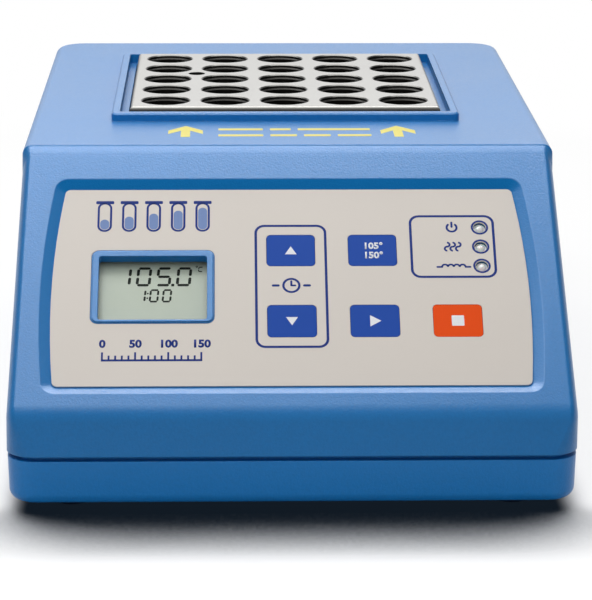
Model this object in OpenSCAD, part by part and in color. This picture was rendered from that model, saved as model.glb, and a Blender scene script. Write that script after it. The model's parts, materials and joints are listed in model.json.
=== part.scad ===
// Bench reactor that digests sample vials in a heated block, in its housing with a sloping control panel.
// Origin at the centre of the footprint on the bench, +X right, +Y back, +Z up, millimetres.

/* [Housing] */
// Width across the parting line
body_w = 189.4; // [184:0.2:198]
// Depth from front to back
body_d = 300; // [294:1:312]
// Height of the base tray, without its feet
base_h = 16.6; // [13:0.1:18]
// Height of the cover, from the parting line to the deck
cover_h = 86.9; // [85:0.1:92]
// Thickness of the moulded walls
wall = 2.6; // [2.2:0.1:3]
// Thickness of the cover behind the sloping fascia, before the panel recess
fascia_wall = 4.5; // [4.2:0.1:5]
// Thickness of the deck
deck_wall = 3; // [2.4:0.1:3.6]
// Draft of the side and back walls, in degrees
draft = 1.2; // [1:0.05:2.5]
// Radius of the front upright corners
corner_r = 10; // [8:0.5:12]
// Radius of the rear upright corners
rear_corner_r = 12; // [10:0.5:14]
// Radius along the side edges of the fascia and the deck
edge_r = 3.6; // [2.6:0.1:4.4]
// Height of the upright front band, from the parting line to the fascia
front_band_h = 14.6; // [13:0.1:17]
// How far the front band leans back over its height
band_lean = 1; // [0.5:0.1:1.5]
// Distance from the front to where the fascia meets the deck
fascia_run = 84; // [82:0.5:88]
// Radius of the bend between the front band and the fascia
band_bend_r = 8; // [6:0.5:10]
// Radius of the bend between the fascia and the deck
deck_bend_r = 10; // [8:0.5:12]
// Step of the deck above the shoulder of the fascia
deck_step = 0.8; // [0.4:0.1:1.2]
// Distance from where the fascia meets the deck to the step
step_setback = 1; // [0.5:0.1:1.6]
// Open seam between the cover and the base
seam_gap = 1.6; // [0.6:0.1:2]
// Inset of the base under the cover on each side
base_inset = 0.3; // [0.2:0.1:0.8]
// Radius along the lower edge of the base
base_edge_r = 3.5; // [2.5:0.5:4.5]
// Thickness of the base floor
base_floor = 2.6; // [2.2:0.1:3]
// Thickness of the tongue that centres the cover on the base
tongue_t = 1.3; // [1:0.1:1.6]
// Height of the tongue above the parting line
tongue_h = 3; // [2:0.5:4]

/* [Feet and housing screws] */
// Diameter of a rubber foot
foot_d = 12.5; // [11:0.5:14]
// Height that a foot stands below the base
foot_stand = 3.4; // [3:0.1:5]
// Depth of the seat of a foot in the base
foot_seat = 1; // [0.6:0.1:1.2]
// Distance of a foot from the side of the housing
foot_in_x = 21; // [20:1:24]
// Distance of a foot from the front and the back
foot_in_y = 16.5; // [16:0.5:22]
// Diameter of the foot and board screws
small_screw_d = 2.9; // [2.5:0.1:3]
// Diameter of the housing screws
screw_d = 3.9; // [3.5:0.1:4]
// Distance of a housing screw from the side
screw_in_x = 14; // [13.5:0.5:15]
// Distance of a housing screw from the front and the back
screw_in_y = 42; // [40:1:44]

/* [Heating block] */
// Columns and rows of vial wells
wells = 5; // [5:1:5]
// Distance between the wells
well_pitch = 22.05; // [21.8:0.05:22.4]
// Bore of a well
well_d = 16.6; // [16.2:0.1:17]
// Depth of a well
well_depth = 55; // [50:1:57]
// Metal outside the outer wells
well_margin = 3.1; // [2.8:0.1:3.6]
// Height of the block
block_h = 68; // [66:1:70]
// Bore of the thermometer well
probe_well_d = 6; // [5:0.2:6]
// Distance from the back of the housing to the block's centre
block_in = 110.1; // [106:0.1:112]
// Thickness of the steel cover plate
plate_t = 1.2; // [1:0.1:1.5]
// Length of the plate's bent skirts
plate_skirt = 8; // [6:0.5:9]
// How much wider a hole in the plate is than the well under it
plate_hole_extra = 1.1; // [0.8:0.1:1.4]
// Chamfer round the holes of the plate
plate_rim = 0.4; // [0.2:0.1:0.6]
// Gap between the plate's skirts and the block
plate_fit = 0.3; // [0.2:0.1:0.5]
// Height of the plate above the collar
plate_proud = 1; // [0.2:0.1:1.4]
// Height of the collar above the deck
collar_h = 3.1; // [2.5:0.1:4]
// Thickness of the collar
collar_wall = 3; // [2.4:0.1:3.4]
// Gap between the collar and the plate
collar_gap = 3.5; // [3:0.1:4]
// Depth of the skirt under the deck opening
deck_skirt_h = 8; // [6:0.5:9]
// Depth of the inner lip below the deck
lip_drop = 0.6; // [0.3:0.1:1]
// Thickness of the inner lip
lip_t = 1.6; // [1.2:0.1:2]
// Gap between the inner lip and the plate's skirts
lip_gap = 0.8; // [0.6:0.1:1.2]
// Thickness of the insulation beside the block
insulation_t = 11; // [10:0.5:12]
// Thickness of the steel heat shield
shield_t = 1; // [0.8:0.1:1.2]
// Height of the heat shield's floor above the bench
shield_z = 24; // [22:0.5:25]
// Thickness of the insulation mat under the block
mat_t = 6; // [4:0.5:7]
// Diameter of a cartridge heater
heater_d = 9.5; // [9:0.1:9.8]
// Length of a cartridge heater
heater_l = 95; // [90:1:100]
// Diameter of a ceramic standoff
standoff_d = 10; // [9:0.5:11]

/* [Control panel] */
// Distance up the slope to the lower edge of the film
panel_low = 11.7; // [11.3:0.1:12.5]
// Length of the film up the slope
panel_l = 80.5; // [80:0.1:81.2]
// Distance from the side of the housing to the film
panel_margin = 13.8; // [13.5:0.1:15]
// Radius of the bowed sides of the film
panel_side_r = 320; // [280:10:450]
// Distance from the film's lower edge to where it is widest
panel_bow = 31; // [28:0.5:34]
// Radius of the film's corners
panel_corner_r = 1.8; // [1.2:0.1:2.4]
// Depth of the recess around the film
recess_depth = 2; // [1.6:0.1:2.2]
// Width of the sloping border of the recess
recess_border = 3.8; // [3.4:0.1:4.2]
// Thickness of the front film
film_t = 0.5; // [0.3:0.1:0.6]
// Width of a key
key_w = 16.5; // [15.5:0.1:17]
// Height of a key, up the slope
key_h = 12.9; // [12:0.1:13.5]
// Hairline gap around a key
key_gap = 0.13; // [0.1:0.01:0.2]
// Travel of a key
key_travel = 0.4; // [0.3:0.1:0.5]
// Distance of the first key column right of the centre
key_x = 0.2; // [-0.5:0.1:1]
// Distance of the lower key row up the slope
key_low = 37.4; // [37:0.1:38.5]
// Distance between the key columns
key_step_x = 27.9; // [27.5:0.1:28.5]
// Distance between the key rows
key_step_y = 29; // [28:0.1:29.5]
// Distance of the display left of the centre
display_x = 46.7; // [46:0.1:47.5]
// Distance of the display's centre up the slope
display_y = 50.9; // [50:0.1:52]
// Width of the display opening
display_w = 36.7; // [35:0.1:37.5]
// Height of the display opening, up the slope
display_h = 26; // [25:0.1:27]
// Width of the frame around the display
bezel_rim = 2.5; // [2:0.1:2.8]
// Height of that frame above the recess floor
bezel_h = 1; // [0.6:0.1:1.2]
// Distance from the middle of the opening up to the middle of that frame
bezel_up = 0.7; // [0:0.1:1]
// Distance of the lamps right of the centre
lamp_x = 65.3; // [64.5:0.1:66]
// Distance of the middle lamp up the slope
lamp_y = 67.8; // [67.5:0.1:69]
// Distance between the lamps
lamp_step = 8.05; // [7.6:0.05:8.4]
// Diameter of a lamp
lamp_d = 4; // [3.5:0.1:4.2]
// Distance from the fascia surface to the control board
board_depth = 10; // [9.6:0.1:10.6]
// Width of the control board
board_w = 150; // [146:1:151]
// Length of the control board, up the slope
board_l = 72; // [70:1:73]
// Thickness of the circuit boards
board_t = 1.6; // [1.2:0.1:2]

/* [Power side] */
// Width of the power board
power_w = 132; // [128:1:134]
// Depth of the power board
power_l = 74; // [72:1:76]
// Height of the power board's pillars above the base floor
pillar_h = 8.6; // [6:0.1:10]
// Distance from the power board to the heat shield
power_gap = 8.6; // [7:0.1:12]
// Distance of the mains inlet right of the centre
inlet_x = 44; // [42:1:46]
// Height of the mains inlet above the parting line
inlet_up = 27.1; // [26:0.1:32]
// Width of the mains inlet's flange
inlet_w = 64; // [63:1:66]
// Height of the mains inlet's flange
inlet_h = 32; // [31:0.5:34]
// Thickness of the flange
inlet_flange = 2; // [1.6:0.1:2.2]
// Depth of the inlet's body behind its flange
inlet_depth = 22; // [20:0.5:23]
// Width of the switch rocker
rocker_w = 13; // [12:0.5:13.5]
// Height of the switch rocker
rocker_h = 22; // [20:0.5:23]
// Tilt of the switch rocker to each side, in degrees
rocker_tilt = 7; // [5:0.5:8]
// Width of the fuse drawer
drawer_w = 24; // [22:0.5:25]
// Height of the fuse drawer
drawer_h = 7.4; // [7:0.1:7.8]
// Length of the fuse drawer
drawer_l = 19; // [17:0.5:20]
// Diameter of a fuse
fuse_d = 5; // [4.8:0.1:5.2]
// Length of a fuse
fuse_l = 20; // [20:0.5:20.5]

/* [Hidden] */
$fn = 48;
soft_fn = 40;   // facets of the hulls' own children
thin = 0.01;    // thickness of a slice that a hull runs between
past = 1;       // how far a cut runs past what it cuts

front_y = -body_d / 2;
block_y = body_d / 2 - block_in;
part_z = foot_stand + base_h;
deck_z = part_z + cover_h;

// The fascia runs up the slope from where it meets the front band
fascia_rise = cover_h - deck_step - front_band_h;
slope_a = atan2(fascia_rise, fascia_run - band_lean);
fascia_l = norm([fascia_run - band_lean, fascia_rise]);
step_y = front_y + fascia_run + step_setback;

// Wells, from left to right and from front to back
well_places = [for (i = [0 : wells - 1], j = [0 : wells - 1])
    [(i - (wells - 1) / 2) * well_pitch, block_y + (j - (wells - 1) / 2) * well_pitch]];
probe_place = [-1.5 * well_pitch, block_y + 0.5 * well_pitch];
block_w = (wells - 1) * well_pitch + well_d + 2 * well_margin;
plate_w = block_w + 2 * (plate_fit + plate_t);
plate_top = deck_z + collar_h + plate_proud;
block_top = plate_top - plate_t;
block_z = block_top - block_h;
collar_in = plate_w + 2 * collar_gap;
collar_out = collar_in + 2 * collar_wall;
collar_chamfer = 0.7;
collar_corner_r = 2.2;
deck_skirt_t = 2;
sleeve_fit = 0.5;
sleeve_in = block_w + 2 * sleeve_fit;
shield_in = sleeve_in + 2 * insulation_t;
shield_w = shield_in + 2 * shield_t;
shield_floor = shield_z + shield_t;
shield_top = deck_z - deck_wall - 4;
sleeve_top = deck_z - deck_wall - deck_skirt_h - 3;
mat_top = shield_floor + mat_t;
standoff_in = 11.5;    // from the side of the block to a standoff
standoff_places = [for (x = [-1, 1], y = [-1, 1])
    [x * (block_w / 2 - standoff_in), block_y + y * (block_w / 2 - standoff_in)]];
shield_screw_in = 7;    // from the side of the shield to one of its screws
shield_screws_at = [for (x = [-1, 1], y = [-1, 1])
    [x * (shield_w / 2 - shield_screw_in), block_y + y * (shield_w / 2 - shield_screw_in)]];
heater_x = 1.5 * well_pitch;
heater_z = block_top - well_depth - heater_d / 2 - 1.4;
block_front = block_y - block_w / 2;
shield_front = block_y - shield_w / 2;
shield_back = block_y + shield_w / 2;
block_screw_d = 4.8;
wire_hole_d = 8;

foot_places = [for (x = [-1, 1], y = [-1, 1])
    [x * (body_w / 2 - foot_in_x), y * (body_d / 2 - foot_in_y)]];
screw_places = [for (x = [-1, 1], y = [-1, 1])
    [x * (body_w / 2 - screw_in_x), y * (body_d / 2 - screw_in_y)]];
base_top = part_z - seam_gap;
floor_z = foot_stand + base_floor;
tongue_fit = 0.4;
face_gap = 0.2;      // between a wire or ribbon and what it plugs into
tongue_inset = wall + tongue_fit;
boss_d = 9;
screw_hole = 0.1;    // a screw's hole is this much wider than its shank
screw_sink = 5;      // how deep the heads of the housing screws sit in the base
cover_boss_h = 15;

panel_half = body_w / 2 - panel_margin;
panel_top = panel_low + panel_l;
panel_mid = panel_low + panel_bow;
film_gap = 0.2;      // between the film and the foot of the recess border
recess_n = -recess_depth;
film_n = recess_n + film_t;
inner_n = -fascia_wall;
board_n = -board_depth;
bezel_w = display_w + 2 * bezel_rim;
bezel_l = display_h + 2 * (bezel_rim - 0.5);
bezel_chamfer = 0.5;
window_t = 1;
window_rim = 4;      // how far the window reaches past the display opening on each side
lcd_gap = 0.4;
lcd_t = 2.8;
lcd_w = display_w + 5.3;
lcd_l = display_h + 5.7;
holder_ledge = 1.2;
lamp_hole = 0.3;
key_places = [
    [key_x, key_low + key_step_y],
    [key_x, key_low],
    [key_x + key_step_x, key_low + key_step_y],
    [key_x + key_step_x, key_low],
    [key_x + 2 * key_step_x, key_low]
];
key_corner_r = 1.5;
key_slot = 0.35;     // between a key and the opening in the cover under it
plunger_d = 3.5;
plunger_fit = 0.1;
switch_w = 6;
switch_h = 3.5;
switch_n = board_n + switch_h;
plunger_in = 0.6;    // how far a plunger reaches into its switch at rest
board_low = 16;
sensor_plug_x = -24;
sensor_plug_up = 76;
sensor_plug_h = 7;
ribbon_up = 76;
ribbon_plug_w = 24;
ribbon_plug_l = 8;
ribbon_plug_h = 8;
ribbon_w = 18;
board_boss_d = 7;
board_boss_in = 4;
board_screw_places = [for (x = [-1, 1], y = [-1, 1])
    [x * (board_w / 2 - board_boss_in), board_low + board_l / 2 + y * (board_l / 2 - board_boss_in)]];

power_y = shield_front - power_gap - power_l / 2;
power_z = floor_z + pillar_h;
power_top = power_z + board_t;
power_screw_places = [for (x = [-1, 1], y = [-1, 1])
    [x * (power_w / 2 - 5), power_y + y * (power_l / 2 - 5)]];
terminal_place = [power_w / 2 - 16, power_y + power_l / 2 - 12];
transformer_place = [-power_w / 2 + 28, power_y + 8];

// The inlet sits on a flat land cut into the drafted back wall
inlet_z = part_z + inlet_up;
land_y = body_d / 2 - inlet_flange - 0.4;
land_fit = 0.4;
inlet_body_w = inlet_w - 14;
inlet_body_h = inlet_h - 4;
inlet_back = land_y - inlet_depth;
inlet_face = land_y + inlet_flange;
rocker_at = [inlet_x - 16, inlet_z];
rocker_y = inlet_face - 4;
rocker_well = 14;     // depth of the well that the rocker tilts in
pivot_d = 2.4;
pivot_l = 1.2;
rocker_gap = 0.4;
socket_at = [inlet_x + 9, inlet_z + 4.3];
socket_w = 24;
socket_h = 16.2;
socket_depth = 16.5;
pin_w = 2;
pin_h = 4;
pin_step = 7;
drawer_at = [inlet_x + 9, inlet_z - 9.4];
drawer_gap = 0.3;
vent_w = 3;
vent_l = 26;
vent_step = 8;

// Routes of the mains wires: from the pins round the shield's corner to the terminals, and from the earth
// pin to the shield. Each bend is an offset from the piece that it passes.
pin_tail = 6.5;      // how far the pins stand out behind the inlet
wire_y = inlet_back - pin_tail - face_gap;
function pin_at(side) = [socket_at[0] + side * pin_step, wire_y, socket_at[1] + pin_rise(side)];
side_route = concat(
    [for (p = [[4, 0, 17], [4.2, -8, 11], [5, -20, 5], [6, -48, 2]])
        [shield_w / 2, shield_back, shield_z] + p],
    [for (p = [[6, 38, 1], [6, 13, 1], [4, -2, 1]]) [shield_w / 2, shield_front, shield_z] + p],
    [for (p = [[16, 7.7, 8.8], [10, 3.2, 8.3], [6.4, 2.3, 7.8]])
        [terminal_place[0], terminal_place[1], power_top] + p]);
live_route = concat(
    [for (p = [[0, 0, 0], [0, -1.7, 0], [1.6, -4, -0.3], [5, -5.1, -1.2], [10, -5.9, -3.6]]) pin_at(1) + p],
    side_route);
neutral_route = concat(
    [for (p = [[0, 0, 0], [0, -1.7, -0.2], [1.4, -3.7, -1.6], [5, -4.6, -3.2], [11, -5, -5.1],
        [18, -5.3, -7.2], [24, -5.9, -8.4]]) pin_at(-1) + p],
    [for (p = side_route) p - [0, 0, 4.6]]);
earth_run = shield_back + face_gap - wire_y;
earth_route = [for (p = [[0, 0], [0.25, 0.2], [0.5, 1.9], [0.75, 3.7], [1, 4]])
    pin_at(0) + [0, p[0] * earth_run, p[1]]];

// ---------- helpers ----------

// A rectangle with round corners, centred
module round_rect(w, l, r) {
    square([w - 2 * r, l], center = true);
    square([w, l - 2 * r], center = true);
    for (x = [-1, 1], y = [-1, 1])
        translate([x * (w / 2 - r), y * (l / 2 - r)]) circle(r);
}

// The housing's plan, drawn in by an inset
module plan(inset) {
    w = body_w / 2 - inset;
    l = body_d / 2 - inset;
    front = corner_r - inset;
    rear = rear_corner_r - inset;
    polygon([[-w, front - l], [front - w, front - l], [front - w, -l], [w - front, -l],
        [w - front, front - l], [w, front - l], [w, l - rear], [w - rear, l - rear],
        [w - rear, l], [rear - w, l], [rear - w, l - rear], [-w, l - rear]]);
    for (side = [-1, 1]) {
        translate([side * (w - front), front - l]) circle(front);
        translate([side * (w - rear), l - rear]) circle(rear);
    }
}

// Children drawn at the fascia: X to the right, Y up the slope, Z out of the surface
module on_fascia() {
    translate([0, front_y + band_lean, part_z + front_band_h])
        rotate([slope_a, 0, 0]) children();
}

// A screw with its head below z = 0 and its shank above
module screw(d, l, head_d, head_h) {
    difference() {
        union() {
            cylinder(d = d, h = l);
            translate([0, 0, -head_h]) cylinder(d = head_d, h = head_h);
        }
        for (a = [0, 90])
            rotate([0, 0, a]) translate([0, 0, -head_h])
                cube([head_d * 0.55, head_d * 0.14, head_h], center = true);
    }
}

// A solid with its four upper edges and its upper corners rounded over
module pillow(w, l, h, r) {
    intersection() {
        rotate([90, 0, 0]) linear_extrude(l + 2 * past, center = true) arch(w, h, r);
        rotate([90, 0, 90]) linear_extrude(w + 2 * past, center = true) arch(l, h, r);
    }
}

module arch(w, h, r) {
    translate([-w / 2, 0]) square([w, h - r]);
    translate([r - w / 2, 0]) square([w - 2 * r, h]);
    for (side = [-1, 1])
        translate([side * (w / 2 - r), h - r]) circle(r);
}

// Points of an arc
function arc(c, r, from, to, n) = [for (i = [0 : n])
    c + r * [cos(from + (to - from) * i / n), sin(from + (to - from) * i / n)]];

// The film's outline, grown by g, with corner radius r
function side_centre(g) = panel_half + g - panel_side_r;
function corner_at(g, r, y) =
    [side_centre(g) + sqrt(pow(panel_side_r - r, 2) - pow(y - panel_mid, 2)), y];
function lean_at(r, y) = asin((y - panel_mid) / (panel_side_r - r));
function right_half(g, r) = concat(
    arc(corner_at(g, r, panel_low - g + r), r, -90, lean_at(r, panel_low - g + r), 6),
    arc([side_centre(g), panel_mid], panel_side_r,
        lean_at(r, panel_low - g + r) * 0.7, lean_at(r, panel_top + g - r) * 0.9, 8),
    arc(corner_at(g, r, panel_top + g - r), r, lean_at(r, panel_top + g - r), 90, 6));
function panel_outline(g, r) = let (half = right_half(g, r))
    concat(half, [for (i = [len(half) - 1 : -1 : 0]) [-half[i][0], half[i][1]]]);

// Points of a smooth curve through a route
function curve_at(p, i, t) = let (
    a = p[max(i - 1, 0)], b = p[i], c = p[i + 1], d = p[min(i + 2, len(p) - 1)])
    0.5 * (2 * b + (c - a) * t + (2 * a - 5 * b + 4 * c - d) * t * t
        + (3 * b - a - 3 * c + d) * t * t * t);
function smooth(p, steps) = concat(
    [for (i = [0 : len(p) - 2], k = [0 : steps - 1]) curve_at(p, i, k / steps)], [p[len(p) - 1]]);
function unit(v) = v / norm(v);
function heading(p, i) = unit(p[min(i + 1, len(p) - 1)] - p[max(i - 1, 0)]);
function across(v) = unit(cross(v, abs(v[2]) > 0.9 ? [1, 0, 0] : [0, 0, 1]));

// A wire of round section along a route
module wire(route, d, steps = 2, sides = 8) {
    p = smooth(route, steps);
    n = len(p);
    rings = [for (i = [0 : n - 1]) let (v = heading(p, i), u = across(v), w = cross(v, u))
        for (k = [0 : sides - 1]) p[i] + d / 2 * (u * cos(360 * k / sides) + w * sin(360 * k / sides))];
    faces = concat(
        [[for (k = [0 : sides - 1]) k]],
        [for (i = [0 : n - 2], k = [0 : sides - 1]) let (m = (k + 1) % sides)
            [i * sides + k, (i + 1) * sides + k, (i + 1) * sides + m, i * sides + m]],
        [[for (k = [sides - 1 : -1 : 0]) (n - 1) * sides + k]]);
    polyhedron(points = rings, faces = faces);
}

// ---------- housing ----------

function drafted(z) = (z - part_z) * tan(draft);

// Where the bends of the front body have their centres, as [y, z], behind walls of the given thickness
function slope_z(y, face) = part_z + front_band_h + (y - front_y - band_lean) * tan(slope_a)
    - face / cos(slope_a);
function low_bend(side, face, r) = let (y = front_y + band_lean + side)
    [y + r, slope_z(y, face) + r * tan(slope_a) - r / cos(slope_a)];
function high_bend(face, top, r) = let (z = deck_z - deck_step - top)
    [front_y + band_lean + (z - slope_z(front_y + band_lean, face)) / tan(slope_a)
        + r * tan(slope_a / 2), z - r];

// One upper rear corner, with its edge rounded over
module rear_corner(inset, z, edge) {
    r = rear_corner_r - inset;
    away = inset + drafted(z) + r;
    translate([body_w / 2 - away, body_d / 2 - away, z - edge])
        rotate_extrude($fn = soft_fn) translate([r - edge, 0]) circle(edge);
}

// Half of the front body: band, fascia and shoulder, behind walls of the given thickness
module front_half(side, face, top, edge, low_r, high_r, below) {
    low = low_bend(side, face, low_r);
    high = high_bend(face, top, high_r);
    translate([body_w / 2 - corner_r, front_y + corner_r, part_z - below])
        cylinder(r = corner_r - side, h = thin, $fn = soft_fn);
    translate([body_w / 2 - rear_corner_r, body_d / 2 - rear_corner_r, part_z - below])
        cylinder(r = rear_corner_r - side, h = thin, $fn = soft_fn);
    translate([body_w / 2 - side - drafted(low[1]) - edge, low[0], low[1]])
        scale([edge / low_r, 1, 1]) sphere(low_r, $fn = soft_fn);
    translate([body_w / 2 - side - drafted(high[1]) - edge, high[0], high[1]])
        scale([edge / high_r, 1, 1]) sphere(high_r, $fn = soft_fn);
    rear_corner(side, deck_z - deck_step - top, edge);
}

module front_body(side, face, top, edge, low_r, high_r, below) {
    hull() for (flip = [0, 1]) mirror([flip, 0, 0])
        front_half(side, face, top, edge, low_r, high_r, below);
}

// The raised deck and the sides behind the step
module rear_half() {
    soft = 0.5;
    edge_x = body_w / 2 - drafted(deck_z - edge_r) - edge_r;
    translate([body_w / 2 - 1, step_y, part_z]) cube([1, 1, thin]);
    translate([body_w / 2 - rear_corner_r, body_d / 2 - rear_corner_r, part_z])
        cylinder(r = rear_corner_r, h = thin, $fn = soft_fn);
    translate([edge_x, step_y + thin, deck_z - edge_r])
        rotate([90, 0, 0]) cylinder(r = edge_r - soft, h = thin, $fn = soft_fn);
    translate([edge_x, step_y + soft + thin, deck_z - edge_r])
        rotate([90, 0, 0]) cylinder(r = edge_r, h = thin, $fn = soft_fn);
    rear_corner(0, deck_z, edge_r);
}

module collar() {
    low = deck_z - deck_wall / 2;
    translate([0, block_y, 0]) hull() {
        translate([0, 0, low]) linear_extrude(deck_z + collar_h - collar_chamfer - low)
            round_rect(collar_out, collar_out, collar_corner_r);
        translate([0, 0, deck_z + collar_h - thin]) linear_extrude(thin)
            round_rect(collar_out - 2 * collar_chamfer, collar_out - 2 * collar_chamfer,
                collar_corner_r - collar_chamfer);
    }
}

module panel_recess() {
    on_fascia() hull() {
        translate([0, 0, recess_n]) linear_extrude(thin)
            polygon(panel_outline(film_gap, panel_corner_r + film_gap));
        translate([0, 0, recess_depth]) linear_extrude(thin)
            polygon(panel_outline(2 * recess_border - film_gap, 2 * recess_border));
    }
}

module display_frame() {
    translate([-display_x, display_y + bezel_up, recess_n - past / 2]) {
        linear_extrude(bezel_h - bezel_chamfer + past / 2) round_rect(bezel_w, bezel_l, 2.6);
        linear_extrude(bezel_h + past / 2)
            round_rect(bezel_w - 2 * bezel_chamfer, bezel_l - 2 * bezel_chamfer, 2.1);
    }
}

module cover_boss() {
    reach = screw_in_x - wall / 2;
    cylinder(d = boss_d, h = cover_boss_h);
    translate([0, -0.9, 1.4 * tongue_h]) cube([reach - 0.5, 1.8, cover_boss_h - 1.4 * tongue_h - 1]);
}

module inlet_pad() {
    translate([inlet_x - inlet_w / 2 - 3, inlet_back + inlet_depth - wall, inlet_z - inlet_h / 2 - 3])
        cube([inlet_w + 6, wall, inlet_h + 6]);
}

module top_cover() {
    color("steelblue") difference() {
        union() {
            difference() {
                union() {
                    front_body(0, 0, 0, edge_r, band_bend_r, deck_bend_r, 0);
                    hull() for (flip = [0, 1]) mirror([flip, 0, 0]) rear_half();
                }
                front_body(wall, fascia_wall, deck_wall - deck_step, edge_r / 2,
                    band_bend_r - wall, deck_bend_r - wall, past);
                panel_recess();
            }
            collar();
            on_fascia() display_frame();
            translate([0, block_y, deck_z - deck_wall - deck_skirt_h])
                linear_extrude(deck_skirt_h + deck_wall / 2)
                    round_rect(collar_in + 2 * deck_skirt_t, collar_in + 2 * deck_skirt_t, 2);
            on_fascia() for (p = board_screw_places)
                translate([p[0], p[1], board_n]) cylinder(d = board_boss_d, h = fascia_boss_h());
            for (p = screw_places)
                translate([p[0], p[1], part_z]) rotate([0, 0, p[0] > 0 ? 0 : 180]) cover_boss();
            inlet_pad();
        }
        deck_opening();
        on_fascia() panel_openings();
        on_fascia() for (p = board_screw_places)
            translate([p[0], p[1], board_n - past])
                cylinder(d = small_screw_d + screw_hole, h = past + fascia_boss_h() - 1);
        for (p = screw_places)
            translate([p[0], p[1], part_z - past]) cylinder(d = screw_d + screw_hole, h = 12 + past);
        translate([inlet_x - inlet_w / 2 - land_fit, land_y, inlet_z - inlet_h / 2 - land_fit])
            cube([inlet_w + 2 * land_fit, 10, inlet_h + 2 * land_fit]);
        translate([inlet_x - inlet_body_w / 2 - land_fit, land_y - 10, inlet_z - inlet_body_h / 2 - land_fit])
            cube([inlet_body_w + 2 * land_fit, 20, inlet_body_h + 2 * land_fit]);
        for (p = inlet_screw_places())
            translate([p[0], land_y + past, p[1]]) rotate([90, 0, 0])
                cylinder(d = small_screw_d + screw_hole, h = 10);
        rear_vents();
    }
}

// The opening round the block, with an inner lip that covers the insulation
module deck_opening() {
    low = deck_z - deck_wall - deck_skirt_h - past;
    lip_top = deck_z - lip_drop;
    lip_in = plate_w + 2 * lip_gap;
    translate([0, block_y, low]) linear_extrude(lip_top - lip_t - low) round_rect(collar_in, collar_in, 1);
    translate([0, block_y, lip_top - lip_t - past]) linear_extrude(lip_t + 2 * past)
        round_rect(lip_in, lip_in, 1);
    translate([0, block_y, lip_top]) linear_extrude(lip_drop + collar_h + past)
        round_rect(collar_in, collar_in, 1);
}

function fascia_boss_h() = board_depth - fascia_wall + 0.5;
function inlet_screw_places() = [for (side = [-1, 1]) [inlet_x + side * (inlet_w / 2 - 2.2), inlet_z]];

module panel_openings() {
    translate([-display_x, display_y, inner_n - past])
        linear_extrude(fascia_wall + 2 * past) round_rect(display_w, display_h, 1);
    for (p = key_places)
        translate([p[0], p[1], inner_n - past]) linear_extrude(fascia_wall + 2 * past)
            round_rect(key_w + 2 * key_slot, key_h + 2 * key_slot, key_corner_r);
    for (k = [-1 : 1])
        translate([lamp_x, lamp_y + k * lamp_step, inner_n - past])
            cylinder(d = lamp_d + lamp_hole, h = fascia_wall + 2 * past);
}

module rear_vents() {
    for (k = [0 : 6])
        translate([-30 - k * vent_step, body_d / 2 - 12, part_z + 30])
            rotate([-90, 0, 0]) translate([0, -vent_l / 2, 0])
                linear_extrude(20) round_rect(vent_w, vent_l, vent_w / 2 - thin);
}

module base_form() {
    turn = base_edge_r;
    hull() {
        translate([0, 0, base_top - thin]) linear_extrude(thin) plan(base_inset);
        for (x = [-1, 1]) {
            translate([x * (body_w / 2 - corner_r), front_y + corner_r, foot_stand + turn])
                rotate_extrude($fn = soft_fn) translate([corner_r - 2 * base_inset - turn, 0]) circle(turn);
            translate([x * (body_w / 2 - rear_corner_r), body_d / 2 - rear_corner_r, foot_stand + turn])
                rotate_extrude($fn = soft_fn)
                    translate([rear_corner_r - 2 * base_inset - turn, 0]) circle(turn);
        }
    }
}

module bottom_base() {
    color("royalblue") difference() {
        union() {
            difference() {
                union() {
                    base_form();
                    translate([0, 0, base_top - past]) linear_extrude(seam_gap + past + tongue_h)
                        plan(tongue_inset);
                }
                translate([0, 0, floor_z]) linear_extrude(base_h + tongue_h)
                    plan(tongue_inset + tongue_t);
            }
            for (p = foot_places)
                translate([p[0], p[1], floor_z - 1]) cylinder(d = 8, h = 9);
            for (p = screw_places)
                translate([p[0], p[1], floor_z - 1]) cylinder(d = boss_d, h = part_z - floor_z + 1);
            for (p = power_screw_places)
                translate([p[0], p[1], floor_z - 1]) cylinder(d = 7, h = pillar_h + 1);
            for (p = shield_screws_at) {
                translate([p[0], p[1], floor_z - 1]) cylinder(d = boss_d, h = shield_z - floor_z + 1);
                translate([p[0], p[1], floor_z + 3]) cube([16, 1.8, 8], center = true);
            }
        }
        for (p = foot_places) {
            translate([p[0], p[1], foot_stand - past]) cylinder(d = foot_d + 0.2, h = foot_seat + past);
            translate([p[0], p[1], 0]) cylinder(d = small_screw_d + screw_hole, h = floor_z + 7);
        }
        for (p = screw_places) {
            translate([p[0], p[1], foot_stand - past]) cylinder(d = 7.4, h = screw_sink + past);
            translate([p[0], p[1], foot_stand]) cylinder(d = screw_d + 0.4, h = 30);
        }
        for (p = power_screw_places)
            translate([p[0], p[1], floor_z]) cylinder(d = small_screw_d + screw_hole, h = pillar_h + past);
        for (p = shield_screws_at)
            translate([p[0], p[1], floor_z]) cylinder(d = small_screw_d + screw_hole, h = 30);
        for (row = [-1, 1], k = [-4 : 4])
            translate([k * 11, row * 26 + (row > 0 ? block_y : block_y - 6), 0])
                linear_extrude(floor_z + past) round_rect(vent_w, vent_l, vent_w / 2 - thin);
    }
}

module rubber_feet() {
    h = foot_stand + foot_seat;
    color("dimgray") for (p = foot_places)
        translate([p[0], p[1], 0]) difference() {
            union() {
                cylinder(d1 = foot_d - 1.6, d2 = foot_d, h = 0.8);
                translate([0, 0, 0.8]) cylinder(d = foot_d, h = h - 0.8);
            }
            translate([0, 0, -past]) cylinder(d = 6.4, h = past + foot_stand * 0.6);
            cylinder(d = small_screw_d + screw_hole, h = 2 * h);
        }
}

module foot_screws() {
    color("silver") for (p = foot_places)
        translate([p[0], p[1], foot_stand * 0.6]) screw(small_screw_d, 8, 5.6, 1.8);
}

module housing_screws() {
    color("silver") for (p = screw_places)
        translate([p[0], p[1], foot_stand + screw_sink])
            screw(screw_d, part_z - foot_stand - screw_sink + 9, 7, 2.6);
}

// ---------- heating block ----------

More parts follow.
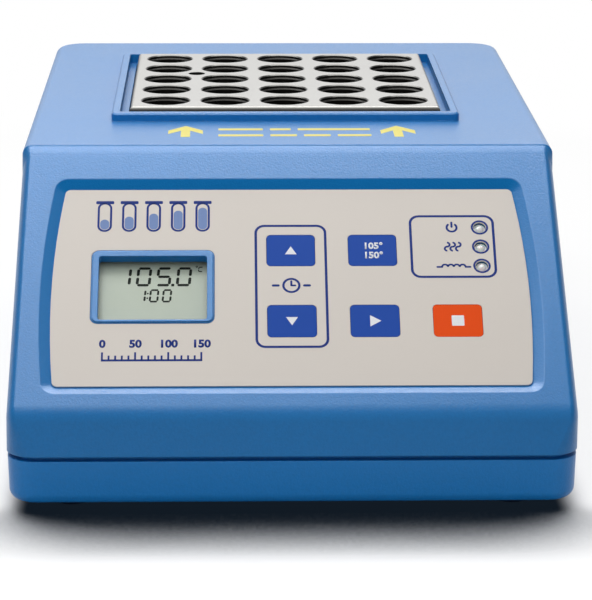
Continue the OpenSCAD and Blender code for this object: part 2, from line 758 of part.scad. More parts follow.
module heater_block() {
    color("gray") difference() {
        translate([-block_w / 2, block_front, block_z]) cube([block_w, block_w, block_h]);
        for (p = well_places) translate([p[0], p[1], block_top]) {
            translate([0, 0, -well_depth]) cylinder(d = well_d, h = well_depth + past);
            translate([0, 0, -0.5]) cylinder(d1 = well_d, d2 = well_d + 2, h = 1);
        }
        translate([probe_place[0], probe_place[1], block_top - well_depth])
            cylinder(d = probe_well_d, h = well_depth + past);
        for (x = [-1, 1]) translate([x * heater_x, block_front - past, heater_z])
            rotate([-90, 0, 0]) cylinder(d = heater_d + 0.1, h = heater_l + 1 + past);
        translate([0, block_front - past, heater_z]) rotate([-90, 0, 0]) cylinder(d = 4.1, h = 41 + past);
        for (p = standoff_places)
            translate([p[0], p[1], block_z - past]) cylinder(d = block_screw_d + screw_hole, h = 11 + past);
        for (y = [-1, 1]) translate([0, block_y + y * 12, block_z - past])
            cylinder(d = small_screw_d + screw_hole, h = 7 + past);
    }
}

module block_cover_plate() {
    h = plate_t + plate_skirt;
    bend = 1.6;
    hole_d = well_d + plate_hole_extra;
    color("gainsboro") difference() {
        translate([0, block_y, plate_top - h]) pillow(plate_w, plate_w, h, bend);
        translate([0, block_y, plate_top - h - past])
            pillow(plate_w - 2 * plate_t, plate_w - 2 * plate_t, plate_skirt + past, plate_fit);
        for (p = well_places) {
            translate([p[0], p[1], plate_top - h]) cylinder(d = hole_d, h = h + past);
            translate([p[0], p[1], plate_top - plate_rim])
                cylinder(d1 = hole_d, d2 = hole_d + 4 * plate_rim, h = 2 * plate_rim);
        }
        translate([probe_place[0], probe_place[1], plate_top - h])
            cylinder(d = probe_well_d + 0.4, h = h + past);
        for (x = [-1, 1], y = [-1, 1])
            translate([x * plate_w / 2, block_y + y * plate_w / 2, plate_top - h - past])
                rotate([0, 0, 45]) translate([-2, -2, 0]) cube([4, 4, plate_skirt - bend + past]);
    }
}

module cartridge_heaters() {
    color("lightgray") for (x = [-1, 1])
        translate([x * heater_x, block_front, heater_z]) rotate([-90, 0, 0]) {
            cylinder(d = heater_d, h = heater_l);
            translate([0, 0, -1.5]) cylinder(d = heater_d - 2, h = 1.5);
        }
}

module temperature_sensor() {
    color("lightgray") translate([0, block_front, heater_z]) rotate([-90, 0, 0]) {
        cylinder(d = 4, h = 40);
        translate([0, 0, -2]) cylinder(d = 6, h = 2);
    }
}

module thermal_cutout() {
    color("darkslategray") difference() {
        translate([0, block_y, block_z]) {
            translate([0, 0, -1]) linear_extrude(1) round_rect(10, 32, 4.9);
            translate([0, 0, -7]) cylinder(d = 16, h = 6.5);
            for (x = [-1, 1]) translate([x * 4 - 0.4, -2.5, -9.4]) cube([0.8, 5, 4]);
        }
        for (y = [-1, 1]) translate([0, block_y + y * 12, block_z - 5])
            cylinder(d = small_screw_d + screw_hole, h = 10);
    }
    color("silver") for (y = [-1, 1])
        translate([0, block_y + y * 12, block_z - 1]) screw(small_screw_d, 6, 5.4, 1.8);
}

module block_standoffs() {
    color("white") for (p = standoff_places)
        translate([p[0], p[1], shield_floor]) difference() {
            cylinder(d = standoff_d, h = block_z - shield_floor);
            translate([0, 0, -past]) cylinder(d = block_screw_d + 0.4, h = 60);
        }
}

module block_screws() {
    color("silver") for (p = standoff_places)
        translate([p[0], p[1], shield_z]) screw(block_screw_d, block_z - shield_z + 9, 8.5, 3);
}

module insulation_sleeve() {
    color("wheat") difference() {
        translate([0, block_y, mat_top]) linear_extrude(sleeve_top - mat_top)
            square(shield_in, center = true);
        translate([0, block_y, mat_top - past]) linear_extrude(sleeve_top)
            square(sleeve_in, center = true);
        for (x = [-heater_x, 0, heater_x]) translate([x, block_front - insulation_t - 4, heater_z])
            rotate([-90, 0, 0]) cylinder(d = wire_hole_d, h = insulation_t + 8);
    }
}

module insulation_mat() {
    color("wheat") difference() {
        translate([0, block_y, shield_floor]) linear_extrude(mat_t) square(shield_in, center = true);
        for (p = standoff_places) translate([p[0], p[1], shield_z]) cylinder(d = standoff_d + 0.6, h = 20);
        for (p = shield_screws_at) translate([p[0], p[1], shield_z]) cylinder(d = 7, h = 20);
    }
}

module heat_shield() {
    notch = 3;
    color("lightsteelblue") difference() {
        translate([0, block_y, shield_z]) linear_extrude(shield_top - shield_z)
            square(shield_w, center = true);
        translate([0, block_y, shield_floor]) linear_extrude(shield_top)
            square(shield_in, center = true);
        for (x = [-1, 1], y = [-1, 1])
            translate([x * shield_w / 2, block_y + y * shield_w / 2, shield_z])
                cube([notch, notch, 2 * notch], center = true);
        for (p = standoff_places) translate([p[0], p[1], 0]) cylinder(d = block_screw_d + 0.4, h = 30);
        for (p = shield_screws_at) translate([p[0], p[1], 0]) cylinder(d = small_screw_d + 0.3, h = 30);
        for (x = [-heater_x, 0, heater_x]) translate([x, shield_front - past, heater_z])
            rotate([-90, 0, 0]) cylinder(d = wire_hole_d, h = shield_t + 2 * past);
    }
}

module shield_screws() {
    color("silver") for (p = shield_screws_at)
        translate([p[0], p[1], shield_floor]) mirror([0, 0, 1]) screw(small_screw_d, 10, 5.6, 1.8);
}

// ---------- control panel ----------

module front_overlay() {
    color("antiquewhite") on_fascia() translate([0, 0, recess_n]) difference() {
        linear_extrude(film_t) polygon(panel_outline(0, panel_corner_r));
        translate([-display_x, display_y + bezel_up, -past]) linear_extrude(film_t + 2 * past)
            round_rect(bezel_w + 2 * key_gap, bezel_l + 2 * key_gap, 2.7);
        for (p = key_places) translate([p[0], p[1], -past]) linear_extrude(film_t + 2 * past)
            round_rect(key_w + 2 * key_gap, key_h + 2 * key_gap, key_corner_r + key_gap);
        for (k = [-1 : 1]) translate([lamp_x, lamp_y + k * lamp_step, -past])
            cylinder(d = lamp_d + lamp_hole, h = film_t + 2 * past);
    }
}

module display_window() {
    color("lightcyan") on_fascia() translate([-display_x, display_y, inner_n - window_t])
        linear_extrude(window_t) round_rect(display_w + 2 * window_rim, display_h + 2 * window_rim, 1);
}

module lcd_glass() {
    color("darkseagreen") on_fascia()
        translate([-display_x, display_y, inner_n - window_t - lcd_gap - lcd_t])
            linear_extrude(lcd_t) square([lcd_w, lcd_l], center = true);
}

module lcd_holder() {
    low = board_n;
    top = inner_n - window_t;
    ledge = inner_n - window_t - lcd_gap - lcd_t;
    color("white") on_fascia() translate([-display_x, display_y, 0]) difference() {
        translate([0, 0, low]) linear_extrude(top - low)
            round_rect(lcd_w + 5, lcd_l + 5, 1);
        translate([0, 0, ledge]) linear_extrude(10) square([lcd_w + 0.2, lcd_l + 0.2], center = true);
        translate([0, 0, low - past]) linear_extrude(20)
            square([lcd_w - 2 * holder_ledge, lcd_l - 2 * holder_ledge], center = true);
    }
}

module status_lamps() {
    top = film_n - 0.3;
    color("honeydew") on_fascia() for (k = [-1 : 1])
        translate([lamp_x, lamp_y + k * lamp_step, board_n]) {
            cylinder(d = lamp_d + 0.8, h = 1);
            cylinder(d = lamp_d, h = top - board_n - lamp_d / 2 + 1.2);
            translate([0, 0, top - board_n - lamp_d / 2]) intersection() {
                sphere(d = lamp_d);
                translate([0, 0, lamp_d / 2]) cube([9, 9, lamp_d], center = true);
            }
        }
}

module control_board() {
    color("seagreen") on_fascia() difference() {
        translate([-board_w / 2, board_low, board_n - board_t]) cube([board_w, board_l, board_t]);
        for (p = board_screw_places) translate([p[0], p[1], board_n - board_t - past])
            cylinder(d = small_screw_d + 0.3, h = board_t + 2 * past);
    }
}

module control_board_screws() {
    color("silver") on_fascia() for (p = board_screw_places)
        translate([p[0], p[1], board_n - board_t]) screw(small_screw_d, board_t + 4.5, 5.4, 1.8);
}

module control_chips() {
    under = board_n - board_t;
    color("black") on_fascia() {
        translate([-20, 48, under - 1.6]) linear_extrude(1.6) square([14, 14], center = true);
        translate([20, 52, under - 3.6]) linear_extrude(3.6) square([18, 7.6], center = true);
        translate([44, 52, under - 3.6]) linear_extrude(3.6) square([10, 7.6], center = true);
    }
    color("ivory") on_fascia() {
        translate([0, ribbon_up, under - ribbon_plug_h])
            linear_extrude(ribbon_plug_h) square([ribbon_plug_w, ribbon_plug_l], center = true);
        translate([sensor_plug_x, sensor_plug_up, under - sensor_plug_h])
            linear_extrude(sensor_plug_h) square([9, 7], center = true);
    }
}

module key_switches() {
    color("dimgray") on_fascia() for (p = key_places) translate([p[0], p[1], board_n])
        difference() {
            linear_extrude(switch_h) square(switch_w, center = true);
            translate([0, 0, switch_h - plunger_in - key_travel - 0.4])
                cylinder(d = plunger_d + 2 * plunger_fit, h = 5);
        }
}

module key_film(i, shade) {
    color(shade) on_fascia() translate([key_places[i][0], key_places[i][1], recess_n])
        linear_extrude(film_t) round_rect(key_w, key_h, key_corner_r);
}

module plunger(i) {
    low = switch_n - plunger_in;
    color("black") on_fascia() translate([key_places[i][0], key_places[i][1], low])
        cylinder(d = plunger_d, h = recess_n - low);
}

module key_timer_up() { key_film(0, "mediumblue"); }
module key_timer_down() { key_film(1, "mediumblue"); }
module key_temperature() { key_film(2, "mediumblue"); }
module key_start() { key_film(3, "mediumblue"); }
module key_stop() { key_film(4, "orangered"); }
module plunger_timer_up() { plunger(0); }
module plunger_timer_down() { plunger(1); }
module plunger_temperature() { plunger(2); }
module plunger_start() { plunger(3); }
module plunger_stop() { plunger(4); }

// ---------- power side ----------

// A point of the fascia's frame in the part's own frame, as [y, z]
function fascia_yz(up, n) = [front_y + band_lean + up * cos(slope_a) - n * sin(slope_a),
    part_z + front_band_h + up * sin(slope_a) + n * cos(slope_a)];

module ribbon_cable() {
    t = 1;
    lead = 5;    // straight stretch at each plug
    high = board_n - board_t - ribbon_plug_h - face_gap;
    low = power_top + ribbon_plug_h + face_gap;
    near = power_y - ribbon_plug_l / 2 + t / 2;
    color("lightgray") translate([-ribbon_w / 2, 0, 0]) rotate([90, 0, 90]) linear_extrude(ribbon_w)
        polygon([fascia_yz(ribbon_up + t / 2, high), fascia_yz(ribbon_up + t / 2, high - lead),
            [near, low + lead], [near, low], [near - t, low], [near - t, low + lead],
            fascia_yz(ribbon_up - t / 2, high - lead), fascia_yz(ribbon_up - t / 2, high)]);
}

module power_board() {
    color("darkgreen") difference() {
        translate([-power_w / 2, power_y - power_l / 2, power_z]) cube([power_w, power_l, board_t]);
        for (p = power_screw_places) translate([p[0], p[1], power_z - past])
            cylinder(d = small_screw_d + 0.3, h = board_t + 2 * past);
    }
    color("ivory") translate([-ribbon_plug_w / 2, power_y - ribbon_plug_l, power_top])
        cube([ribbon_plug_w, ribbon_plug_l, ribbon_plug_h]);
}

module power_board_screws() {
    color("silver") for (p = power_screw_places)
        translate([p[0], p[1], power_top]) mirror([0, 0, 1]) screw(small_screw_d, 7, 5.4, 1.8);
}

// The transformer's core is an E and I stack round the middle of the coil
core_w = 42;
core_h = 34;
core_l = 16;
core_leg = 7;

module transformer_core() {
    color("slategray") translate([transformer_place[0], transformer_place[1], power_top]) difference() {
        translate([-core_w / 2, -core_l / 2, 0]) cube([core_w, core_l, core_h]);
        for (x = [-1, 1]) translate([x * core_w / 4, 0, core_h / 2])
            cube([core_leg, core_l + 2, core_h - 2 * core_leg], center = true);
    }
}

module transformer_coil() {
    middle = core_w / 2 - core_leg;
    color("darkgoldenrod") translate([transformer_place[0], transformer_place[1], power_top + core_h / 2])
        difference() {
            cube([core_w / 2 + core_leg - 0.4, core_l + 12, core_h - 2 * core_leg - 0.2], center = true);
            cube([middle + 0.2, core_l + 0.2, core_h], center = true);
        }
}

module triac() {
    color("black") translate([12, power_y + 24.6, power_top]) cube([10, 4.4, 15]);
}

module triac_heatsink() {
    fins = 5;
    color("silver") translate([2, power_y + 29, power_top]) {
        cube([30, 2.4, 24]);
        for (k = [0 : fins - 1]) translate([k * 28.4 / (fins - 1), 2.4, 0]) cube([1.6, 6, 24]);
    }
}

module capacitors() {
    color("midnightblue") for (k = [0 : 2])
        translate([10 + 14 * k, power_y + 6, power_top]) cylinder(d = 10, h = 16);
}

module relay() {
    color("deepskyblue") translate([22, power_y - 26, power_top]) cube([20, 16, 15]);
}

module terminal_block() {
    color("limegreen") translate([terminal_place[0], terminal_place[1], power_top]) difference() {
        translate([-4, -12, 0]) cube([10, 24, 10]);
        for (k = [-2 : 2]) translate([-0.5, k * 4.6, 4]) cylinder(d = 3, h = 10);
    }
}

module inlet_body_cut() {
    translate([rocker_at[0] - rocker_w / 2 - rocker_gap, inlet_face - rocker_well,
        rocker_at[1] - rocker_h / 2 - rocker_gap])
        cube([rocker_w + 2 * rocker_gap, 20, rocker_h + 2 * rocker_gap]);
    translate([rocker_at[0], rocker_y, rocker_at[1]]) rotate([0, 90, 0])
        cylinder(d = pivot_d + screw_hole, h = rocker_w + 2 * (rocker_gap + pivot_l), center = true);
    difference() {
        translate([socket_at[0] - socket_w / 2, inlet_face - socket_depth, socket_at[1] - socket_h / 2])
            cube([socket_w, 20, socket_h]);
        for (side = [-1, 1])
            translate([socket_at[0] + side * socket_w / 2, inlet_face, socket_at[1] + socket_h / 2])
                rotate([0, 45, 0]) cube([5, 60, 5], center = true);
    }
    translate([drawer_at[0] - drawer_w / 2 - drawer_gap, inlet_face - drawer_l - 1.5,
        drawer_at[1] - drawer_h / 2 - drawer_gap])
        cube([drawer_w + 2 * drawer_gap, 30, drawer_h + 2 * drawer_gap]);
}

module power_inlet() {
    color("black") difference() {
        union() {
            translate([inlet_x, inlet_face, inlet_z]) rotate([90, 0, 0])
                linear_extrude(inlet_flange) round_rect(inlet_w, inlet_h, 2);
            translate([inlet_x - inlet_body_w / 2, inlet_back, inlet_z - inlet_body_h / 2])
                cube([inlet_body_w, inlet_depth, inlet_body_h]);
        }
        inlet_body_cut();
        for (x = [-1 : 1]) translate([socket_at[0] + x * pin_step, inlet_face, socket_at[1] + pin_rise(x)])
            cube([pin_w, 2 * (inlet_face - inlet_back + 5), pin_h], center = true);
        for (p = inlet_screw_places())
            translate([p[0], inlet_face + past, p[1]]) rotate([90, 0, 0]) cylinder(d = 3.2, h = 10);
    }
}

// The middle pin stands higher than the outer two
function pin_rise(x) = x == 0 ? 2.2 : -1.8;

module inlet_pins() {
    color("silver") for (x = [-1 : 1])
        translate([socket_at[0] + x * pin_step - pin_w / 2, inlet_back - pin_tail,
            socket_at[1] + pin_rise(x) - pin_h / 2])
            cube([pin_w, inlet_depth + inlet_flange + pin_tail - 1.5, pin_h]);
}

module inlet_screws() {
    color("silver") for (p = inlet_screw_places())
        translate([p[0], inlet_face, p[1]]) rotate([90, 0, 0]) screw(small_screw_d, 6, 4.2, 0.4);
}

module rocker_switch() {
    r = rocker_h / 2;
    dish_r = 20.6;
    color("dimgray") translate([rocker_at[0], rocker_y, rocker_at[1]]) rotate([90, 0, 90]) {
        rotate(rocker_tilt) linear_extrude(rocker_w, center = true) difference() {
            intersection() {
                circle(r);
                translate([-2, 0]) square([10, 2 * r], center = true);
            }
            translate([dish_r + 1.8, 0]) circle(dish_r);
        }
        cylinder(d = pivot_d, h = rocker_w + 2 * (rocker_gap + pivot_l) - 0.4, center = true);
    }
}

module fuse_drawer() {
    color("black") translate([drawer_at[0], inlet_face, drawer_at[1]]) difference() {
        translate([-drawer_w / 2, -drawer_l, -drawer_h / 2]) cube([drawer_w, drawer_l - 0.2, drawer_h]);
        translate([-fuse_l / 2 - 0.2, -drawer_l + 2, 0.1 - fuse_d / 2]) cube([fuse_l + 0.4, 12, drawer_h]);
        translate([-5, -2, -drawer_h / 2 - 1]) cube([10, 1.2, 2]);
    }
}

module fuses() {
    color("silver") for (k = [0, 1])
        translate([drawer_at[0] - fuse_l / 2, inlet_face - drawer_l + 4.8 + k * 6, drawer_at[1] + 0.2])
            rotate([0, 90, 0]) cylinder(d = fuse_d, h = fuse_l);
}

// ---------- wiring ----------

module mains_wires() {
    color("saddlebrown") wire(live_route, 3);
    color("cornflowerblue") wire(neutral_route, 3);
}

module heater_wires() {
    color("white") for (x = [-1, 1]) {
        wire([[x * heater_x, block_front - 1.6, heater_z], [x * heater_x, shield_front - 1, heater_z],
            [x * (heater_x + 2), shield_front - 7, heater_z - 3],
            [x * (heater_x + 3), shield_front - 12, heater_z - 14],
            [x * (heater_x + 3), shield_front - 16, power_top + 8],
            [x * (heater_x + 3), shield_front - 17, power_top + face_gap]], 3.6);
    }
}

module sensor_wire() {
    plug = fascia_yz(sensor_plug_up, board_n - board_t - sensor_plug_h - face_gap);
    near = fascia_yz(sensor_plug_up, board_n - board_t - sensor_plug_h - 5);
    start = [0, shield_front, heater_z];
    run = [sensor_plug_x, near[0] - shield_front, near[1] - heater_z];
    bends = [[0, 0.11, 0], [0.17, 0.29, 0.05], [0.58, 0.48, 0.25], [0.88, 0.67, 0.56], [1, 0.85, 0.79]];
    color("ivory") wire(concat([[0, block_front - 2.2, heater_z], start],
        [for (b = bends) start + [b[0] * run[0], b[1] * run[1], b[2] * run[2]]],
        [[sensor_plug_x, near[0], near[1]], [sensor_plug_x, plug[0], plug[1]]]), 2.6);
}

module earth_wire() {
    color("yellowgreen") wire(earth_route, 2.4);
}

top_cover();
bottom_base();
rubber_feet();
foot_screws();
housing_screws();
heater_block();
block_cover_plate();
cartridge_heaters();
temperature_sensor();
thermal_cutout();
block_standoffs();
block_screws();
insulation_sleeve();
insulation_mat();
heat_shield();
shield_screws();
front_overlay();
display_window();
lcd_glass();
lcd_holder();
status_lamps();
control_board();
control_board_screws();
control_chips();
key_switches();
key_timer_up();
key_timer_down();
key_temperature();
key_start();
key_stop();
plunger_timer_up();
plunger_timer_down();
plunger_temperature();
plunger_start();
plunger_stop();
ribbon_cable();
power_board();
power_board_screws();
transformer_core();
transformer_coil();
triac();
triac_heatsink();
capacitors();
relay();
terminal_block();
power_inlet();
inlet_pins();
inlet_screws();
rocker_switch();
fuse_drawer();
fuses();
mains_wires();
heater_wires();
sensor_wire();
earth_wire();
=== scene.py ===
"""Dresses a bench reactor that heats sample vials: its housing, panel, heating block and mains inlet."""

import json
import math
from functools import partialmethod

import bmesh
import bpy
from bpy.props import FloatProperty, FloatVectorProperty, PointerProperty
from bpy.types import Operator, Panel, PropertyGroup
from mathutils import Matrix, Vector

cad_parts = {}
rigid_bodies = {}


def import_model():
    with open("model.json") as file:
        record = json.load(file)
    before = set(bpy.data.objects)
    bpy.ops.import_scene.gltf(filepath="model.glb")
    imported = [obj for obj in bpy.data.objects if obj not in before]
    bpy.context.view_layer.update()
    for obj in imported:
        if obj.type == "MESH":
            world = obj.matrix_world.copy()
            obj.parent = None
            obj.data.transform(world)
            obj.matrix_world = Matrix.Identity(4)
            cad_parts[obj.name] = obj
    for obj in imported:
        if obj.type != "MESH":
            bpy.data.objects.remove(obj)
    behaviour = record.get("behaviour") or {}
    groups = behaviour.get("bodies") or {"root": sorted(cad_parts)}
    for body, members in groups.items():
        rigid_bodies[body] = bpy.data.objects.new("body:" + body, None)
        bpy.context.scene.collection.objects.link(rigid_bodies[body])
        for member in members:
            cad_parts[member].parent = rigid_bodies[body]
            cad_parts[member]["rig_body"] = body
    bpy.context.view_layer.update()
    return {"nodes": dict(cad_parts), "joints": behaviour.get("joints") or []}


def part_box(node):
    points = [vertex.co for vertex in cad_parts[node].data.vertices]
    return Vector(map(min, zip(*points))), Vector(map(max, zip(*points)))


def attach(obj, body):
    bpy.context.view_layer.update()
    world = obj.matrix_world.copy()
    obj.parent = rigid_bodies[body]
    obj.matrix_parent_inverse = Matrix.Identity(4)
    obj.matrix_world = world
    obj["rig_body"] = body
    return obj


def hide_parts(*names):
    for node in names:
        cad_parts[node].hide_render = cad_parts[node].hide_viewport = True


bl_info = {
    "name": "Sample Vial Reactor",
    "version": (1, 0, 0),
    "blender": (4, 5, 0),
    "location": "View3D > Sidebar > Reactor",
    "description": "Gives the reactor's parts their finishes, printing, display and studio",
    "category": "Object",
}

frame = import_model()
MM = 0.001


# ---------- sizes and colours that a user may change ----------


def screen_colour(red, green, blue):
    """A colour given as a screen shows it, from 0 to 255, in the linear values that shaders use."""
    parts = [part / 255 for part in (red, green, blue)]
    return [part / 12.92 if part <= 0.04045 else ((part + 0.055) / 1.055) ** 2.4 for part in parts]


def colour(name, description, *screen):
    return FloatVectorProperty(
        name=name, description=description, default=screen_colour(*screen), subtype="COLOR", min=0, max=1
    )


def length(name, description, millimetres):
    return FloatProperty(name=name, description=description, default=millimetres * MM, unit="LENGTH")


class ReactorColours(PropertyGroup):
    """Colours of the reactor's materials and printing."""

    cover: colour("Cover", "Moulded plastic of the cover", 13, 114, 182)
    # The base is a little lighter than the cover: painted light that offsets the shade it stands in under the
    # cover
    base: colour("Base", "Moulded plastic of the base tray", 14, 122, 196)
    film: colour("Film", "Front film of the control panel", 216, 209, 201)
    print: colour("Print", "Blue ink on the front film", 24, 50, 126)
    pale_print: colour("Pale print", "Second, paler ink on the front film", 118, 142, 190)
    keys: colour("Keys", "Blue key areas of the film", 26, 74, 167)
    stop_key: colour("Stop key", "Orange key area of the film", 237, 77, 0)
    key_marks: colour("Key marks", "White ink on the keys", 236, 238, 242)
    deck_marks: colour("Deck marks", "Yellow ink on the deck", 232, 220, 120)
    plate: colour("Cover plate", "Brushed steel over the block", 134, 133, 130)
    # The block's near-black is partly its own colour and partly painted shade, so that its wells look as dark
    # as deep holes
    block: colour("Block", "Heat-darkened aluminium of the block", 25, 24, 22)
    screen: colour("Screen", "Reflecting layer of the display", 181, 186, 172)
    segments: colour("Segments", "Lit segments of the display", 32, 35, 32)
    lamps: colour("Lamps", "Lens of the unlit status lamps", 226, 224, 220)
    rubber: colour("Rubber", "Rubber of the feet", 22, 38, 66)
    inlet: colour("Inlet", "Plastic of the mains inlet", 26, 27, 29)


class ReactorSizes(PropertyGroup):
    """Sizes of the printing and of the display's segments."""

    print_thickness: length("Print thickness", "Thickness of the ink layers", 0.04)
    print_line: length("Print line", "Width of the printed frames", 0.9)
    frame_radius: length("Frame radius", "Corner radius of the printed frames", 3.4)
    digit_height: length("Digit height", "Height of the upper row of digits", 7.9)
    small_digit_height: length("Small digit height", "Height of the lower row of digits", 5.4)
    arrow_width: length("Arrow width", "Width of an arrow on the deck", 12.4)
    arrow_length: length("Arrow length", "Length of an arrow on the deck", 19.6)
    floor_size: length("Floor", "Side of the studio floor", 9000)


def colours():
    return bpy.context.scene.reactor_colours


def sizes():
    return bpy.context.scene.reactor_sizes


# ---------- node trees ----------


# Waves that the Wave Texture fits into one unit at a scale of 1
WAVES_IN_UNIT = 3.18


class Number:
    """A value in a node tree. Python's operators on it add the tree's Math nodes."""

    def __init__(self, finish, socket):
        self.finish, self.socket = finish, socket

    def math(self, operation, *others):
        """The result of a Math node that has this value first."""
        sockets = dict(enumerate((self, *others)))
        return self.finish.value(0, "ShaderNodeMath", sockets, operation=operation)

    __add__ = __radd__ = partialmethod(math, "ADD")
    __sub__ = partialmethod(math, "SUBTRACT")
    __mul__ = partialmethod(math, "MULTIPLY")
    __pow__ = partialmethod(math, "POWER")

    def __rsub__(self, other):
        return self.math("MULTIPLY_ADD", -1, other)

    def ramp(self, low, high):
        """0 below low, 1 above high and a smooth step between them."""
        sockets = {"Value": self, "From Min": low, "From Max": high}
        return self.finish.value(0, "ShaderNodeMapRange", sockets, interpolation_type="SMOOTHSTEP")


class Finish:
    """A material or a world, with a method that adds nodes and others for the patterns in use."""

    def __init__(self, owner):
        self.owner = owner
        owner.use_nodes = True
        self.tree = owner.node_tree
        self.tree.nodes.clear()

    def node(self, kind, sockets=None, **settings):
        """A node of a kind, its settings made first and then its sockets set or linked."""
        node = self.tree.nodes.new(kind)
        for name, value in settings.items():
            setattr(node, name, value)
        for key, value in (sockets or {}).items():
            source = value.socket if isinstance(value, Number) else value
            if isinstance(source, bpy.types.NodeSocket):
                self.tree.links.new(source, node.inputs[key])
            else:
                node.inputs[key].default_value = source
        return node

    def value(self, output, kind, sockets=None, **settings):
        """One output of a new node, as a Number."""
        return Number(self, self.node(kind, sockets, **settings).outputs[output])

    def place(self, stretch=(1, 1, 1)):
        """Object coordinates, drawn out by a factor along each axis."""
        at = self.node("ShaderNodeTexCoord").outputs["Object"]
        if tuple(stretch) == (1, 1, 1):
            return at
        squeeze = [1 / factor for factor in stretch]
        return self.node("ShaderNodeMapping", {"Vector": at, "Scale": squeeze}).outputs[0]

    def axis(self, name):
        """One Object coordinate, in metres."""
        return self.value(name, "ShaderNodeSeparateXYZ", {0: self.place()})

    def noise(self, size, detail=2.0, stretch=(1, 1, 1), rough=0.5):
        """Mottling from 0 to 1 whose blotches are about size millimetres across."""
        sockets = {"Vector": self.place(stretch), "Scale": 1 / (size * MM)}
        sockets |= {"Detail": detail, "Roughness": rough}
        return self.value(0, "ShaderNodeTexNoise", sockets)

    def cells(self, size):
        """Distance to the edge, from 0 to 1, in a pattern of cells about size millimetres across."""
        sockets = {"Vector": self.place(), "Scale": 1 / (size * MM)}
        return self.value(0, "ShaderNodeTexVoronoi", sockets, feature="DISTANCE_TO_EDGE")

    def waves(self, size, direction, distortion=0.0):
        """Even waves from 0 to 1, a wave every size millimetres."""
        scale = 1 / (size * MM * WAVES_IN_UNIT)
        sockets = {"Vector": self.place(), "Scale": scale, "Distortion": distortion}
        return self.value(1, "ShaderNodeTexWave", sockets, wave_type="BANDS", bands_direction=direction)

    def mix(self, mask, first, second):
        """A colour that goes from the first to the second as the mask goes from 0 to 1."""
        sockets = {0: mask, 6: opaque(first), 7: opaque(second)}
        return self.node("ShaderNodeMix", sockets, data_type="RGBA").outputs[2]

    def tint(self, base, amount, mask):
        """A colour made up to amount darker and lighter by a mask from 0 to 1."""
        darker = [part * (1 - amount) for part in base]
        lighter = [min(1, part * (1 + amount)) for part in base]
        return self.mix(mask, darker, lighter)

    def soft_edges(self, radius):
        """Normals that round the edges over, within radius millimetres."""
        return self.node("ShaderNodeBevel", {"Radius": radius * MM}, samples=4).outputs[0]

    def bump(self, height, depth, over=None):
        """Relief depth millimetres high from a pattern from 0 to 1, over other normals."""
        sockets = {"Strength": 1.0, "Distance": depth * MM, "Height": height}
        if over is not None:
            sockets["Normal"] = over
        return self.node("ShaderNodeBump", sockets).outputs[0]

    def principled(self, **values):
        """The Principled shader with its sockets named in lower case."""
        names = {name: name.replace("_", " ").title().replace("Ior", "IOR") for name in values}
        sockets = {names[name]: value for name, value in values.items()}
        sockets["Base Color"] = opaque(sockets["Base Color"])
        return self.node("ShaderNodeBsdfPrincipled", sockets)

    def surface(self, **values):
        """The Principled shader as the material's output."""
        return self.output(self.principled(**values))

    def blend(self, mask, first, second):
        """A shader node that goes from the first to the second as the mask goes from 0 to 1."""
        sockets = {0: mask, 1: first.outputs[0], 2: second.outputs[0]}
        return self.node("ShaderNodeMixShader", sockets)

    def output(self, shader):
        """The owner, with a shader node as its output."""
        kind = "World" if isinstance(self.owner, bpy.types.World) else "Material"
        self.node(f"ShaderNodeOutput{kind}", {"Surface": shader.outputs[0]})
        return self.owner


def opaque(value):
    """A colour with its fourth part, or a socket as it is."""
    return value if isinstance(value, bpy.types.NodeSocket) or len(value) == 4 else (*value, 1)


# ---------- materials ----------


def moulded(finish, base, grain=0.72, depth=0.1, roughness=0.34, edge=0.5, recess=None):
    """Injection-moulded plastic with a fine spark-eroded texture, with painted shade on the walls of a
    recess.
    """
    cloud = finish.noise(45, 3)
    speckle = finish.noise(grain * 1.6, 2)
    texture = finish.noise(grain, 3, rough=0.6)
    tone = finish.tint(base, 0.14, cloud * 0.3 + speckle * 0.7)
    gloss = roughness + (cloud - 0.5) * 0.07 + (texture - 0.5) * 0.1
    relief = finish.bump(texture, depth, finish.soft_edges(edge))
    face = finish.principled(base_color=tone, roughness=gloss, specular_ior_level=0.34, normal=relief)
    if recess is None:
        return finish.output(face)
    walls, sides = recess
    # Painted shade: the recess walls get a darker share of the colour, and a copy of the plastic with little
    # sheen
    painted_shade = finish.mix(sides, *([part * share for part in base] for share in RECESS_SHADES))
    dull = finish.principled(base_color=painted_shade, roughness=gloss, specular_ior_level=0.06, normal=relief)
    return finish.output(finish.blend(walls, face, dull))


def mottled(finish, base, pattern, shade, roughness, swing, depth, edge=0, cloud=None, share=1, **more):
    """One pattern, a method of Finish and its values, in the colour, the roughness and the relief.

    In the colour it may have only a share, and a cloud, given by its values, has the rest.
    """
    method, *values = pattern
    spots = method(finish, *values)
    mask = finish.noise(*cloud) * (1 - share) + spots * share if cloud else spots
    return finish.surface(
        base_color=finish.tint(base, shade, mask),
        roughness=roughness + (spots - 0.5) * swing,
        normal=finish.bump(spots, depth, finish.soft_edges(edge) if edge else None),
        **more,
    )


def satin_film(finish, base, roughness=0.48, shine=0.12):
    """Polyester film with a velvet face."""
    more = {"cloud": (30, 2), "share": 0.5, "specular_ior_level": shine}
    return mottled(finish, base, (Finish.noise, 0.22), 0.03, roughness, 0.12, 0.004, 0.1, **more)


def ink(finish, base):
    """Screen-printed ink, a little thinner in places."""
    return mottled(finish, base, (Finish.noise, 0.3), 0.08, 0.46, 0.14, 0.003, specular_ior_level=0.05)


